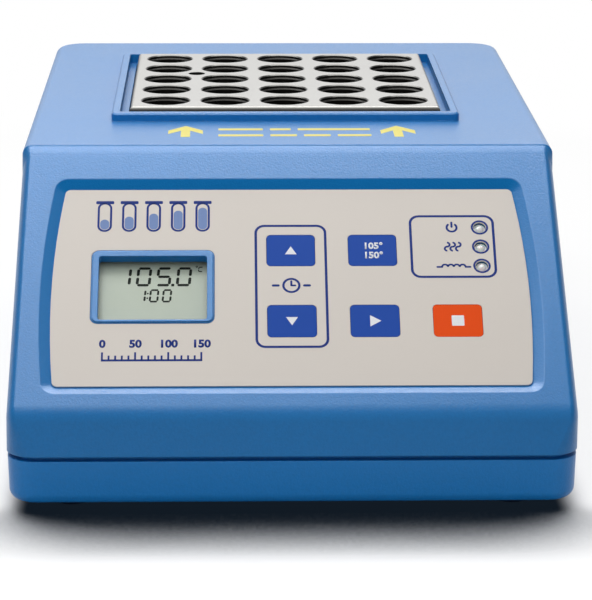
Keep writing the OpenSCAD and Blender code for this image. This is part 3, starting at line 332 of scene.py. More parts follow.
def brushed(finish, base, roughness, stretch, line=0.12, depth=0.004, edge=0.3, folds=1.0):
    """Sheet metal brushed along one axis, its colour dimmed by a factor where it isn't level: painted shade
    on folds and skirts.
    """
    fine = finish.noise(line, 3, stretch)
    broad = finish.noise(line * 9, 2, stretch)
    cloud = finish.noise(38, 2)
    tone = finish.tint(base, 0.1, fine * 0.5 + broad * 0.3 + cloud * 0.2)
    # Painted shade that dims the reflections on the folds and skirts
    if folds < 1:
        tone = finish.mix(facing_up(finish).ramp(0.8, 0.99), [part * folds for part in base], tone)
    return finish.surface(
        base_color=tone,
        metallic=1.0,
        roughness=roughness + (fine - 0.5) * 0.16 + (cloud - 0.5) * 0.06,
        normal=finish.bump(fine * 0.6 + broad * 0.4, depth, finish.soft_edges(edge)),
    )


def turned(finish, base, roughness, grain=0.3):
    """Small turned or plated metal parts."""
    return mottled(finish, base, (Finish.noise, grain), 0.12, roughness, 0.18, 0.006, 0.12, metallic=1.0)


def over(finish, node):
    """1 above and below a node's box, out to WALL_REACH beside it."""
    low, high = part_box(node)
    at, half = (low + high) / 2, (high - low) / 2
    across, along = (
        (finish.axis("XY"[k]) - at[k]).math("ABSOLUTE").math("LESS_THAN", half[k] + WALL_REACH)
        for k in (0, 1)
    )
    return across * along


def facing_up(finish):
    """How far up a face looks, from -1 to 1."""
    normal = finish.node("ShaderNodeNewGeometry").outputs["True Normal"]
    return finish.value("Z", "ShaderNodeSeparateXYZ", {0: normal})


def recess_shade_masks(finish):
    """Masks for the painted shade in the panel recess: one of its walls, and one that is 0 on its top wall
    and 1 on its sides.
    """
    out = -INWARD.normalized()
    sockets = {0: finish.place(), 1: out}
    rise = finish.value("Value", "ShaderNodeVectorMath", sockets, operation="DOT_PRODUCT")
    above = rise - middle("front_overlay").dot(out)
    walls = 1 - above.ramp(RECESS_HEIGHT - 0.25 * MM, RECESS_HEIGHT - 0.05 * MM)
    up = facing_up(finish)
    border = over(finish, "front_overlay") * (1 - over(finish, "display_window"))
    return border * walls * (1 - up.ramp(0.4, 0.95)), up.ramp(-0.4, 0.1)


# The cover, with painted shade on the walls of its panel recess
def cover_plastic(finish, base):
    return moulded(finish, base, recess=recess_shade_masks(finish))


def block_aluminium(finish, base):
    """Machined block: rings left by the drill in the wells, and a mottled darker and lighter tone and
    roughness.
    """
    rings = finish.noise(0.5, 2, (40, 40, 1))
    stain = finish.noise(9, 4)
    return finish.surface(
        base_color=finish.tint(base, 0.3, stain * 0.7 + rings * 0.3),
        metallic=0.85,
        roughness=0.42 + (stain - 0.5) * 0.2,
        normal=finish.bump(rings, 0.03, finish.soft_edges(0.2)),
    )


def board_green(finish, base):
    """Solder mask over copper tracks."""
    tracks = finish.cells(4.5).ramp(0.04, 0.09)
    grain = finish.noise(0.5, 2)
    return finish.surface(
        base_color=finish.mix(tracks, screen_colour(30, 104, 62), base),
        roughness=0.26 + grain * 0.12,
        normal=finish.bump(1 - tracks, 0.05, finish.bump(grain, 0.004)),
    )


def insulation_wool(finish, base):
    """Needled mineral fibre."""
    fibres = finish.noise(0.35, 5, (6, 1, 2), 0.7)
    tufts = finish.noise(3.5, 4)
    return finish.surface(
        base_color=finish.tint(base, 0.22, fibres * 0.6 + tufts * 0.4),
        roughness=0.92 + (fibres - 0.5) * 0.1,
        normal=finish.bump(fibres * 0.5 + tufts * 0.5, 0.5),
    )


def clear_window(finish, base):
    """Clear sheet that lets the display through and reflects at its face."""
    haze = finish.noise(14, 3)
    shine = finish.principled(base_color=base, roughness=0.05 + haze * 0.04)
    through = finish.node("ShaderNodeBsdfTransparent", {"Color": (0.97, 0.985, 0.975, 1)})
    away = finish.value("Facing", "ShaderNodeLayerWeight", {"Blend": 0.5})
    return finish.output(finish.blend(away**5 * 0.6 + 0.03, through, shine))


# Finishes of the slots and inks: a function, a colour by name or as a screen shows it, and settings
FINISHES = {
    "cover_plastic": (cover_plastic, "cover", {}),
    # The base's colour is lighter than the cover's, painted light against its shade
    "base_plastic": (moulded, "base", {}),
    "black_plastic": (moulded, "inlet", dict(grain=0.35, depth=0.008, edge=0.25)),
    "white_plastic": (moulded, (222, 220, 212), dict(grain=0.4, depth=0.006, roughness=0.4)),
    "block_aluminium": (block_aluminium, "block", {}),
    # The plate's folds and skirts carry painted shade
    "plate_steel": (brushed, "plate", dict(roughness=0.3, stretch=(28, 1, 1), edge=0.05, folds=0.25)),
    "shield_steel": (brushed, (186, 190, 194), dict(roughness=0.4, stretch=(1, 1, 14), depth=0.002)),
    "bare_aluminium": (brushed, (204, 206, 208), dict(roughness=0.34, stretch=(1, 1, 10))),
    "screw_steel": (turned, (196, 196, 194), dict(roughness=0.32)),
    "pin_brass": (turned, (212, 206, 190), dict(roughness=0.22, grain=0.5)),
    "heater_steel": (turned, (176, 172, 164), dict(roughness=0.36)),
    "film": (satin_film, "film", {}),
    "key_blue": (satin_film, "keys", dict(roughness=0.44, shine=0.04)),
    "key_orange": (satin_film, "stop_key", dict(roughness=0.44, shine=0.04)),
    "clear_window": (clear_window, (25.5, 28.6, 28.6), {}),
    "display_glass": (mottled, "screen", dict(
        pattern=(Finish.noise, 0.12), shade=0.035, roughness=0.42, swing=0.1, depth=0.002,
        cloud=(12, 3), share=0.4, coat_weight=0.35, coat_roughness=0.12,
    )),
    "board_green": (board_green, (14, 74, 44), {}),
    "insulation_wool": (insulation_wool, (214, 200, 160), {}),
    "foot_rubber": (mottled, "rubber", dict(
        pattern=(Finish.noise, 0.6, 4), shade=0.25, roughness=0.78, swing=0.2, depth=0.03, edge=0.3
    )),
    "ceramic_white": (mottled, (232, 228, 216), dict(
        pattern=(Finish.noise, 3, 4), shade=0.06, roughness=0.575, swing=0.15, depth=0.02
    )),
    "wire_insulation": (mottled, (150, 112, 84), dict(
        pattern=(Finish.noise, 1.2, 2, (1, 1, 4)), shade=0.12, roughness=0.41, swing=0.1, depth=0.01
    )),
    "core_steel": (mottled, (96, 98, 104), dict(
        pattern=(Finish.waves, 0.5, "Y"), shade=0.35, roughness=0.5, swing=0.1, depth=0.06, metallic=0.8
    )),
    "copper_coil": (mottled, (196, 138, 46), dict(
        pattern=(Finish.waves, 0.9, "Z", 0.4), shade=0.25, roughness=0.35, swing=0.1, depth=0.05,
        coat_weight=0.4,
    )),
    "lamp_plastic": (mottled, "lamps", dict(
        pattern=(Finish.noise, 0.8, 3), shade=0.05, roughness=0.29, swing=0.1, depth=0.004,
        subsurface_weight=0.3, subsurface_scale=1.2 * MM,
    )),
    "panel_ink": (ink, "print", {}),
    "pale_panel_ink": (ink, "pale_print", {}),
    "key_ink": (ink, "key_marks", {}),
    "switch_ink": (ink, "key_marks", {}),
    "deck_ink": (ink, "deck_marks", {}),
    "segment_ink": (ink, "segments", {}),
}
MATERIALS = {}


def material(name):
    """The material of one of the finishes, made once."""
    if name not in MATERIALS:
        maker, base, settings = FINISHES[name]
        base = getattr(colours(), base) if isinstance(base, str) else screen_colour(*base)
        MATERIALS[name] = maker(Finish(bpy.data.materials.new(name)), base, **settings)
    return MATERIALS[name]


# ---------- pieces ----------


def add_object(name, data):
    made = bpy.data.objects.new(name, data)
    bpy.context.scene.collection.objects.link(made)
    return made


def as_mesh(work, name):
    """A mesh with the faces of a BMesh, which is used up."""
    mesh = bpy.data.meshes.new(name)
    work.to_mesh(mesh)
    work.free()
    return mesh


def slot_of(node):
    return frame["nodes"][node].data.materials[0].name


def body_of(node):
    return frame["nodes"][node]["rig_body"]


def link(mesh, finish, body):
    """An object at the origin for a finished mesh, riding on a body."""
    piece = add_object(mesh.name, mesh)
    mesh.materials.clear()
    mesh.materials.append(finish)
    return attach(piece, body)


def dress(node, crease=27):
    """A merged copy of a CAD node with smooth curves and sharp creases, which stands for the node."""
    slot = slot_of(node)
    mesh = frame["nodes"][node].data.copy()
    mesh.name = f"{node}_surface"
    work = bmesh.new()
    work.from_mesh(mesh)
    bmesh.ops.remove_doubles(work, verts=work.verts, dist=0.002 * MM)
    bmesh.ops.dissolve_degenerate(work, dist=0.001 * MM, edges=work.edges)
    for face in work.faces:
        face.smooth = True
    for edge in work.edges:
        edge.smooth = len(edge.link_faces) == 2 and edge.calc_face_angle() < math.radians(crease)
    work.to_mesh(mesh)
    work.free()
    if "custom_normal" in mesh.attributes:
        mesh.attributes.remove(mesh.attributes["custom_normal"])
    piece = link(mesh, material(slot), body_of(node))
    weighted = piece.modifiers.new("Even shading", "WEIGHTED_NORMAL")
    weighted.keep_sharp = True
    weighted.weight = 80
    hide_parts(node)
    return piece


def dress_all(*nodes):
    for node in nodes:
        dress(node)
    return {"FINISHED"}


class Print:
    """Flat shapes in millimetres that become one thin layer of ink or one set of segments."""

    TRIANGLE_WIDTH = 1.05

    def __init__(self):
        self.work = bmesh.new()

    def add(self, shape, at, turn):
        """Takes one shape in, turned in degrees and moved."""
        mesh = as_mesh(shape, "shape")
        mesh.transform(Matrix.Translation((*at, 0)) @ Matrix.Rotation(math.radians(turn), 4, "Z"))
        self.work.from_mesh(mesh)
        bpy.data.meshes.remove(mesh)
        return self

    @staticmethod
    def blank(width, height, radius, steps=6):
        """A rectangle with its corners rounded, or cut off when steps is 1."""
        shape = bmesh.new()
        bmesh.ops.create_grid(shape, x_segments=1, y_segments=1, size=0.5)
        bmesh.ops.scale(shape, vec=(width, height, 1), verts=shape.verts)
        if radius:
            bmesh.ops.bevel(
                shape, geom=shape.verts[:], offset=radius, segments=steps, profile=0.5,
                affect="VERTICES", material=-1,
            )
        return shape

    def block(self, width, height, at=(0, 0), radius=0.0, turn=0, steps=6):
        """A rectangle."""
        return self.add(self.blank(width, height, radius, steps), at, turn)

    def frame(self, width, height, line, at, radius):
        """An outline of a given line width, inside a rounded rectangle."""
        shape = self.blank(width, height, radius)
        bmesh.ops.inset_region(
            shape, faces=shape.faces[:], thickness=line, use_boundary=True, use_even_offset=True
        )
        inner = [face for face in shape.faces if not any(edge.is_boundary for edge in face.edges)]
        bmesh.ops.delete(shape, geom=inner, context="FACES")
        return self.add(shape, at, 0)

    def triangle(self, diameter, at, turn=0):
        """A triangle that points up before it is turned, in a circle of the given diameter."""
        shape = bmesh.new()
        bmesh.ops.create_circle(shape, cap_ends=True, radius=diameter / 2, segments=3)
        bmesh.ops.scale(shape, vec=(self.TRIANGLE_WIDTH, 1, 1), verts=shape.verts)
        return self.add(shape, at, turn)

    def ring(self, diameter, line, at=(0, 0), start=0, sweep=360):
        """A ring, or part of one, whose middle line has the given diameter."""
        shape = bmesh.new()
        inner = shape.verts.new((diameter / 2 - line / 2, 0, 0))
        outer = shape.verts.new((diameter / 2 + line / 2, 0, 0))
        edge = shape.edges.new((inner, outer))
        bmesh.ops.spin(
            shape, geom=[inner, outer, edge], cent=(0, 0, 0), axis=(0, 0, 1),
            angle=math.radians(sweep), steps=max(8, round(sweep / 9)), use_merge=sweep == 360,
        )
        return self.add(shape, at, start)

    def outline(self, points):
        """A flat shape with straight sides between the given points."""
        shape = bmesh.new()
        verts = [shape.verts.new((*point, 0)) for point in points]
        edges = [shape.edges.new(pair) for pair in zip(verts, verts[1:] + verts[:1])]
        bmesh.ops.edgeloop_fill(shape, edges=edges)
        return self.add(shape, (0, 0), 0)

    def stroke(self, start, end, line):
        """A straight line with round ends."""
        run = Vector(end) - Vector(start)
        middle = (Vector(start) + Vector(end)) / 2
        turn = math.degrees(math.atan2(run.y, run.x))
        return self.block(run.length + line, line, middle, line * 0.499, turn)

    def number(self, text, height, at, bold):
        """Plain figures of a given height, centred and made bolder by so much."""
        curve = bpy.data.curves.new("figures", "FONT")
        curve.body = text
        curve.align_x = "CENTER"
        curve.resolution_u = 3
        curve.offset = bold
        figures = add_object("figures", curve)
        bpy.context.view_layer.update()
        mesh = bpy.data.meshes.new_from_object(figures.evaluated_get(bpy.context.evaluated_depsgraph_get()))
        bpy.data.objects.remove(figures)
        bpy.data.curves.remove(curve)
        shape = bmesh.new()
        shape.from_mesh(mesh)
        bpy.data.meshes.remove(mesh)
        tops = [vert.co.y for vert in shape.verts]
        scale = height / (max(tops) - min(tops))
        bmesh.ops.translate(shape, vec=(0, -(max(tops) + min(tops)) / 2, 0), verts=shape.verts)
        bmesh.ops.scale(shape, vec=(scale, scale, 1), verts=shape.verts)
        return self.add(shape, at, 0)

    def shear(self, slant):
        """Leans the shapes to the right by so much of their height."""
        bmesh.ops.transform(self.work, matrix=Matrix.Shear("XZ", 4, (slant, 0)), verts=self.work.verts)
        return self

    def lay(self, name, place, finish, body, slot, thickness=None):
        """Gives the shapes a thickness and lays them on the face with the matrix place, a quarter sunk in."""
        thickness = (thickness or sizes().print_thickness) / MM
        bmesh.ops.remove_doubles(self.work, verts=self.work.verts, dist=1e-5)
        bmesh.ops.recalc_face_normals(self.work, faces=self.work.faces)
        for face in self.work.faces:
            if face.normal.z < 0:
                face.normal_flip()
        made = bmesh.ops.extrude_face_region(self.work, geom=self.work.faces[:], use_keep_orig=True)
        raised = [item for item in made["geom"] if isinstance(item, bmesh.types.BMVert)]
        bmesh.ops.translate(self.work, vec=(0, 0, thickness), verts=raised)
        bmesh.ops.recalc_face_normals(self.work, faces=self.work.faces)
        mesh = as_mesh(self.work, name)
        mesh.transform(place @ Matrix.Translation((0, 0, -thickness / 4)))
        return link(mesh, finish, body)


# ---------- places ----------


INWARD = Vector(next(joint["axis"] for joint in frame["joints"] if joint["name"] == "press_start"))
RIGHT = Vector((1, 0, 0))
FILM_THICKNESS = 0.5 * MM
# From the middle of the film to the fascia, and how far the recess walls reach past the film
RECESS_HEIGHT = 1.75 * MM
WALL_REACH = 4.5 * MM
# Shares of the plastic's colour on the top wall of the recess and on its sides: painted shade
RECESS_SHADES = 0.52, 0.95
GLASS_THICKNESS = 2.8 * MM
COLLAR_HEIGHT = 3.1 * MM


def middle(node):
    low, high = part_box(node)
    return (low + high) / 2


def facing(out, origin, right=RIGHT):
    """The matrix that lays millimetre shapes on a face that looks along out, upright, at a point."""
    up = out.cross(right)
    turn = Matrix((right, up, out)).transposed().to_4x4()
    return Matrix.Translation(origin) @ turn @ Matrix.Scale(MM, 4)


def on_panel(node, surface="front_overlay", thickness=FILM_THICKNESS):
    """On the top of the film, or of another sheet, over the middle of a node."""
    out = -INWARD.normalized()
    height = (middle(surface) - middle(node)).dot(out) + thickness / 2
    return facing(out, middle(node) + out * height)


def on_deck():
    """On the deck, upright as seen from the front, at the middle of the housing."""
    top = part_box("top_cover")[1].z - COLLAR_HEIGHT
    return facing(Vector((0, 0, 1)), Vector((0, 0, top)))


# ---------- operators ----------


class REACTOR_OT_stage(Operator):
    """Adds the camera, the pale floor and the soft studio light"""

    bl_idname = "reactor.stage"
    bl_label = "Add studio"

    CAMERA_AT = (-0.0220, -1.0074, 0.3037)
    # Its turns after one another, from a look straight down
    CAMERA_TURNS = (("Z", -1.516), ("X", 74.966), ("Z", 0.22))
    LENS = 164.72
    AMBIENT = 0.39
    # Where a direction's part across the view starts and ends to turn from white to the ambient light
    FLAGS = 0.4, 0.65
    # Name, place, target, size and power of each lamp
    LAMPS = (
        ("overhead_strip", (-0.1, -0.1, 0.65), (-0.1, -0.1, 0.05), (0.5, 0.1), 0.8),
        ("back_overhead", (-0.03, 0.55, 0.75), (0, -0.05, 0.1), (1.0, 0.4), 1.4),
        ("rear_softbox", (0, 1.25, 0.5), (0, 0, 0.1), (1.6, 0.4), 1.4),
        ("front_key", (-0.22, -0.55, 1.0), (0, -0.12, 0.07), (0.7, 0.5), 3.5),
    )
    # Cards that show only as a sheen on the plastic
    CARDS = (
        ("bend_card", (-0.1, 0.27, 0.7), (-0.1, 0.27, 0.05), (0.9, 0.68), 18.0),
        ("left_card", (-0.24, -0.22, 0.65), (-0.24, -0.22, 0.05), (0.3, 0.3), 0.7),
    )
    # How far round it a point of the floor looks for the object, which way, and from what share of
    # open sky to what share its painted shadow fades
    SHADOW_REACH = 50
    SHADOW_LEAN = {"X": 0, "Y": 0.8, "Z": 0.6}
    SHADOW_RANGE = (0.42, 1.02)
    # Where the floor beside the object turns clear of the painted shadow, across and along, and from where it
    # is white
    CLEAR_ACROSS = (0.088, 0.102)
    CLEAR_ALONG = (-0.165, -0.135)
    WHITE_FROM = (0.3, 0.55)
    # Colours of the paper, of its lit part and of its painted shadow
    PAPER = (0.55, 0.55, 0.55)
    LIT = (1.25, 1.25, 1.25, 1)
    DARK = (0.006, 0.0105, 0.017, 1)

    def execute(self, context):
        scene = context.scene
        scene.camera = self.camera()
        self.floor()
        scene.world = self.world()
        for lamp in self.LAMPS:
            self.lamp(*lamp)
        for card in self.CARDS:
            self.lamp(*card).visible_diffuse = False
        scene.view_settings.view_transform = "Standard"
        return {"FINISHED"}

    def camera(self):
        data = bpy.data.cameras.new("camera")
        data.lens = self.LENS
        data.clip_start = 0.05
        data.clip_end = 50
        camera = add_object("camera", data)
        camera.location = self.CAMERA_AT
        turn = Matrix()
        for axis, degrees in self.CAMERA_TURNS:
            turn = turn @ Matrix.Rotation(math.radians(degrees), 4, axis)
        camera.rotation_euler = turn.to_euler()
        return camera

    def floor(self):
        work = bmesh.new()
        bmesh.ops.create_grid(work, x_segments=1, y_segments=1, size=sizes().floor_size / 2)
        floor = add_object("studio_floor", as_mesh(work, "studio_floor"))
        floor.data.materials.append(self.paper(Finish(bpy.data.materials.new("floor_paper"))))

    def seen(self, finish):
        """1 for the rays that show the background, straight on or in a reflection."""
        kinds = ("Is Camera Ray", "Is Glossy Ray", "Is Transmission Ray")
        straight, glossy, through = (finish.value(kind, "ShaderNodeLightPath") for kind in kinds)
        return (straight + glossy + through).math("MINIMUM", 1)

    def paper(self, finish):
        """White paper with the lamps' shadows and a painted shadow drawn from ambient occlusion, plain white
        further out.
        """
        tooth = finish.noise(2.5, 3)
        paper = finish.principled(base_color=finish.tint(self.PAPER, 0.01, tooth), roughness=1.0)
        lit = finish.node("ShaderNodeBsdfDiffuse", {"Color": self.LIT})
        shadow_paint = finish.node("ShaderNodeEmission", {"Color": self.DARK})
        lean = finish.node("ShaderNodeCombineXYZ", self.SHADOW_LEAN).outputs[0]
        sockets = {"Distance": self.SHADOW_REACH * MM, "Normal": lean}
        cover = finish.value("AO", "ShaderNodeAmbientOcclusion", sockets, samples=16)
        beside = finish.axis("X").math("ABSOLUTE").ramp(*self.CLEAR_ACROSS)
        beside = beside * finish.axis("Y").ramp(*self.CLEAR_ALONG)
        # Painted shadow: a dark glow where ambient occlusion, leaning back, finds the object, cleared beside
        # it
        near = finish.blend(cover.ramp(*self.SHADOW_RANGE).math("MAXIMUM", beside), shadow_paint, lit)
        white = finish.node("ShaderNodeEmission", {"Strength": 1.0})
        reach = finish.value("Value", "ShaderNodeVectorMath", {0: finish.place()}, operation="LENGTH")
        far = reach.ramp(*self.WHITE_FROM).math("MAXIMUM", beside * 0.8)
        shown = finish.blend(far, near, white)
        return finish.output(finish.blend(self.seen(finish), paper, shown))

    def world(self):
        finish = Finish(bpy.data.worlds.new("studio"))
        light, white = (
            finish.node("ShaderNodeBackground", {"Color": (1, 1, 1, 1), "Strength": strength})
            for strength in (self.AMBIENT, 1.0)
        )
        # Reflections find flags at the far left and right, which darken the rounded sides
        flags = finish.axis("X").math("ABSOLUTE").ramp(*self.FLAGS)
        camera = finish.value("Is Camera Ray", "ShaderNodeLightPath")
        shown = camera.math("MAXIMUM", self.seen(finish) * (1 - flags))
        return finish.output(finish.blend(shown, light, white))

    def lamp(self, name, at, target, size, power):
        data = bpy.data.lights.new(name, "AREA")
        data.shape = "RECTANGLE"
        data.size, data.size_y = size
        data.energy = power
        lamp = add_object(name, data)
        lamp.location = at
        out = (Vector(at) - Vector(target)).normalized()
        across = (RIGHT - out * out.dot(RIGHT)).normalized()
        lamp.rotation_euler = Matrix((across, out.cross(across), out)).transposed().to_euler()
        return lamp


class REACTOR_OT_housing(Operator):
    """Finishes the moulded cover and base, the feet and the screws under them"""

    bl_idname = "reactor.housing"
    bl_label = "Finish housing"

    def execute(self, context):
        return dress_all("top_cover", "bottom_base", "rubber_feet", "foot_screws", "housing_screws")


class REACTOR_OT_shoulder(Operator):
    """Rounds the shoulder over the step between the fascia and the deck"""

    bl_idname = "reactor.shoulder"
    bl_label = "Round the shoulder"

    # From the front of the cover to the deck's front edge and to the foot of the shoulder
    BACK, FRONT = 85.5, 81.7
    # Where its end arcs have their centres, from the side and under the deck, at its back and its front
    CENTRE_IN = (5.34, 5.2)
    CENTRE_DOWN = (3.8, 10.8)
    # Their radii across and upright, at its back and its front
    ACROSS = (3.6, 2.86)
    UPRIGHT = (3.6, 7.97)
    # How far it swells between its back and its foot
    CROWN = 0.35
    # Shares of its depth at which it has a line across, the last one tucked in under the fascia
    SHARES = (0, 0.2, 0.45, 0.72, 1, 1.3)
    TUCK = 0.7
    ARC_STEPS = 10
    THICKNESS = 0.7
    CREASE = 40

    def execute(self, context):
        low, high = (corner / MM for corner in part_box("top_cover"))
        deck = high.z - COLLAR_HEIGHT / MM
        work = bmesh.new()
        rails = [self.rail(work, share, low, high, deck) for share in self.SHARES]
        for upper, lower in zip(rails, rails[1:]):
            bmesh.ops.bridge_loops(work, edges=upper + lower)
        bmesh.ops.recalc_face_normals(work, faces=work.faces)
        if sum(face.normal.z for face in work.faces) < 0:
            bmesh.ops.reverse_faces(work, faces=work.faces)
        for face in work.faces:
            face.smooth = True
        bmesh.ops.solidify(work, geom=work.faces[:], thickness=self.THICKNESS)
        bmesh.ops.recalc_face_normals(work, faces=work.faces)
        for edge in work.edges:
            edge.smooth = edge.calc_face_angle(0) < math.radians(self.CREASE)
        mesh = as_mesh(work, "deck_shoulder")
        mesh.transform(Matrix.Scale(MM, 4))
        link(mesh, material("cover_plastic"), "housing")
        return {"FINISHED"}

    def rail(self, work, share, low, high, deck):
        """One line across the shoulder and down round both its ends, at a share of its depth."""
        across, upright, aside, down = (
            start + (end - start) * share
            for start, end in (self.ACROSS, self.UPRIGHT, self.CENTRE_IN, self.CENTRE_DOWN)
        )
        swell, sunk = share * (1 - share), self.TUCK * max(0, share - 1)
        across, upright = across - self.CROWN * swell - sunk, upright + self.CROWN * swell - sunk
        y = low.y + self.BACK + (self.FRONT - self.BACK) * share
        turns = [math.pi / 2 * k / self.ARC_STEPS for k in range(self.ARC_STEPS + 1)]
        half = [
            (high.x - aside + across * math.sin(turn), y, deck - down + upright * math.cos(turn))
            for turn in turns
        ]
        points = [(-x, y, z) for x, y, z in reversed(half)] + half
        verts = [work.verts.new(point) for point in points]
        return [work.edges.new(pair) for pair in zip(verts, verts[1:])]


class REACTOR_OT_deck_marks(Operator):
    """Prints the arrows and rules on the deck in front of the block"""

    bl_idname = "reactor.deck_marks"
    bl_label = "Print deck marks"

    ARROWS_AT = ((-36.2, -32.2), (39.8, -32.2))
    STEM_WIDTH = 3.3
    WING_LENGTH = 6.3
    WING_SLOPE = 1.31
    # Rules as (start, end) across the deck, in two rows
    RULES = (
        (-38.4, ((-24.5, -8.5), (-6.0, 1.5), (4.0, 30.0))),
        (-49.0, ((-24.5, -8.5), (-6.0, 3.5), (6.0, 15.5), (18.0, 30.0))),
    )
    RULE_WIDTH = 3.4

    def execute(self, context):
        marks = Print()
        for at in self.ARROWS_AT:
            self.arrow(marks, Vector(at))
        for y, row in self.RULES:
            for start, end in row:
                marks.block(end - start, self.RULE_WIDTH, ((start + end) / 2, y), 0.5)
        marks.lay("deck_marks", on_deck(), material("deck_ink"), "housing", "cover_plastic")
        return {"FINISHED"}

    def arrow(self, marks, apex):
        """An arrow to the back: a stem under two wings that slope away from its apex."""
        half, long, stem = sizes().arrow_width / MM / 2, sizes().arrow_length / MM, self.STEM_WIDTH / 2
        side = (
            (half, -self.WING_SLOPE * half),
            (half, -self.WING_SLOPE * half - self.WING_LENGTH),
            (stem, -self.WING_SLOPE * stem - self.WING_LENGTH),
            (stem, -long),
        )
        points = [(0, 0), *side, *((-x, y) for x, y in reversed(side))]
        marks.outline([apex + Vector(point) for point in points])


class REACTOR_OT_block(Operator):
    """Finishes the cover plate and the heating block with its heaters and insulation"""

    bl_idname = "reactor.block"
    bl_label = "Finish heating block"

    def execute(self, context):
        return dress_all(
            "block_cover_plate", "heater_block", "insulation_sleeve", "insulation_mat", "heat_shield",
            "cartridge_heaters", "temperature_sensor", "thermal_cutout", "block_standoffs",
            "block_screws", "shield_screws",
        )


class REACTOR_OT_panel(Operator):
    """Finishes the front film, its key areas and the status lamps"""

    bl_idname = "reactor.panel"
    bl_label = "Finish control panel"

    def execute(self, context):
        keys = [node for node in frame["nodes"] if node.startswith("key_") and node != "key_switches"]
        return dress_all("front_overlay", "status_lamps", *keys)


class REACTOR_OT_panel_print(Operator):
    """Prints the frames, pictures and scale on the front film"""

    bl_idname = "reactor.panel_print"
    bl_label = "Print front film"

    TIMER_FRAME = (24.7, 50.6)
    LAMP_FRAME = (29.4, 26.3)
    LAMP_FRAME_AT = (-9.6, 0.15)
    LAMP_RING = 6.0
    LAMP_STEP = 8.05
    # Middle of the pictures beside the lamps, and widths of the lines in pictures and of thin lines
    PICTURES = -9.6
    PICTURE_LINE, THIN_LINE = 0.75, 0.7
    # Diameter and line of the clock, its hands in shares of it, and the dash beside it
    CLOCK, CLOCK_LINE = 5.4, 0.8
    HANDS = ((0, 0.32), (0.24, 0))
    DASH = (4.4, 6.2)
    # Height, width, spacing and place of the vials, and the overhang and height of their caps
    VIAL = (12.4, 5.0)
    VIAL_STEP, VIALS_UP = 8.4, 29.7
    CAP = (1.2, 1.3)
    # From a vial's side to its sample, the first sample's share of the height, and the gain of the next
    SAMPLE_GAP = 0.95
    SAMPLE = (0.34, 0.1)
    # Width and place of the scale, height and place of its figures, and its long and short ticks
    SCALE, SCALE_AT = 33.0, -29.0
    FIGURES, FIGURES_AT = 3.3, -22.4
    TICKS = (3.2, 1.9)
    TICK_LINE = 0.65

    def execute(self, context):
        self.line = sizes().print_line / MM
        self.timer()
        self.lamps()
        self.vials()
        self.scale()
        return {"FINISHED"}

    def lay(self, marks, name, node, finish="panel_ink"):
        marks.lay(name, on_panel(node), material(finish), "housing", "film")

    def timer(self):
        """A frame round the two timer keys, with a clock between them."""
        radius = sizes().frame_radius / MM
        between = (middle("key_timer_up") - middle("key_timer_down")).length / 2 / MM
        marks = Print().frame(*self.TIMER_FRAME, self.line, (0, between), radius)
        marks.ring(self.CLOCK, self.CLOCK_LINE, (0, between))
        for x, y in self.HANDS:
            marks.stroke((0, between), (self.CLOCK * x, between + self.CLOCK * y), self.THIN_LINE)
        for side in (-1, 1):
            marks.stroke(*((side * x, between) for x in self.DASH), self.line)
        self.lay(marks, "timer_print", "key_timer_down")

    def lamps(self):
        """A frame round the lamps, a ring round each one and a picture beside each one."""
        radius = sizes().frame_radius / MM
        marks = Print().frame(*self.LAMP_FRAME, self.line, self.LAMP_FRAME_AT, radius)
        line = self.line * 0.8
        for step in (-1, 0, 1):
            marks.ring(self.LAMP_RING - line, line, (0, step * self.LAMP_STEP))
        for step, picture in ((1, self.mains_picture), (0, self.heat_picture), (-1, self.coil_picture)):
            picture(marks, self.PICTURES, step * self.LAMP_STEP)
        self.lay(marks, "lamp_print", "status_lamps")

    def mains_picture(self, marks, x, y):
        """A broken ring with a bar in its gap."""
        marks.ring(3.4, self.PICTURE_LINE, (x, y), 125, 290)
        marks.stroke((x, y + 0.3), (x, y + 2.1), self.PICTURE_LINE)

    def heat_picture(self, marks, x, y):
        """Three upright waves."""
        wave, step = 1.7, 1.9
        for k in (-1, 0, 1):
            for half in (0, 1):
                centre = (x + k * step, y + (half - 0.5) * wave)
                marks.ring(wave, self.THIN_LINE, centre, 90 + 180 * half, 180)

    def coil_picture(self, marks, x, y):
        """A line of loops."""
        loop, low = 2.0, y - 0.4
        for k in range(4):
            marks.ring(loop, self.THIN_LINE, (x + (k - 1.5) * loop, low), 0, 180)
        for side in (-1, 1):
            marks.stroke((x + side * 2 * loop, low), (x + side * 2.8 * loop, low), self.THIN_LINE)

    def vials(self):
        """A rack of vials above the display, filled to different heights."""
        filled, empty = Print(), Print()
        (tall, wide), up = self.VIAL, self.VIALS_UP
        overhang, cap = self.CAP
        inner, low = wide - 2 * self.SAMPLE_GAP, up - tall / 2 + self.SAMPLE_GAP
        least, more = self.SAMPLE
        for k in range(5):
            x = (k - 2) * self.VIAL_STEP
            level = tall * (least + more * k)
            empty.frame(wide, tall, self.PICTURE_LINE, (x, up), wide * 0.49)
            empty.block(wide + overhang, cap, (x, up + tall / 2), 0.4)
            filled.block(inner, level, (x, low + level / 2), inner * 0.49)
        self.lay(empty, "vial_print", "display_window")
        self.lay(filled, "sample_print", "display_window", "pale_panel_ink")

    def scale(self):
        """A plain temperature scale under the display."""
        marks = Print()
        wide, low = self.SCALE, self.SCALE_AT
        for k, text in enumerate(("0", "50", "100", "150")):
            marks.number(text, self.FIGURES, (wide * (k / 3 - 0.5), self.FIGURES_AT), 0.045)
        for k in range(16):
            tall = self.TICKS[k % 5 > 0]
            marks.block(self.TICK_LINE, tall, (wide * (k / 15 - 0.5), low + tall / 2))
        marks.block(wide + self.TICK_LINE, self.CLOCK_LINE, (0, low))
        self.lay(marks, "scale_print", "display_window")


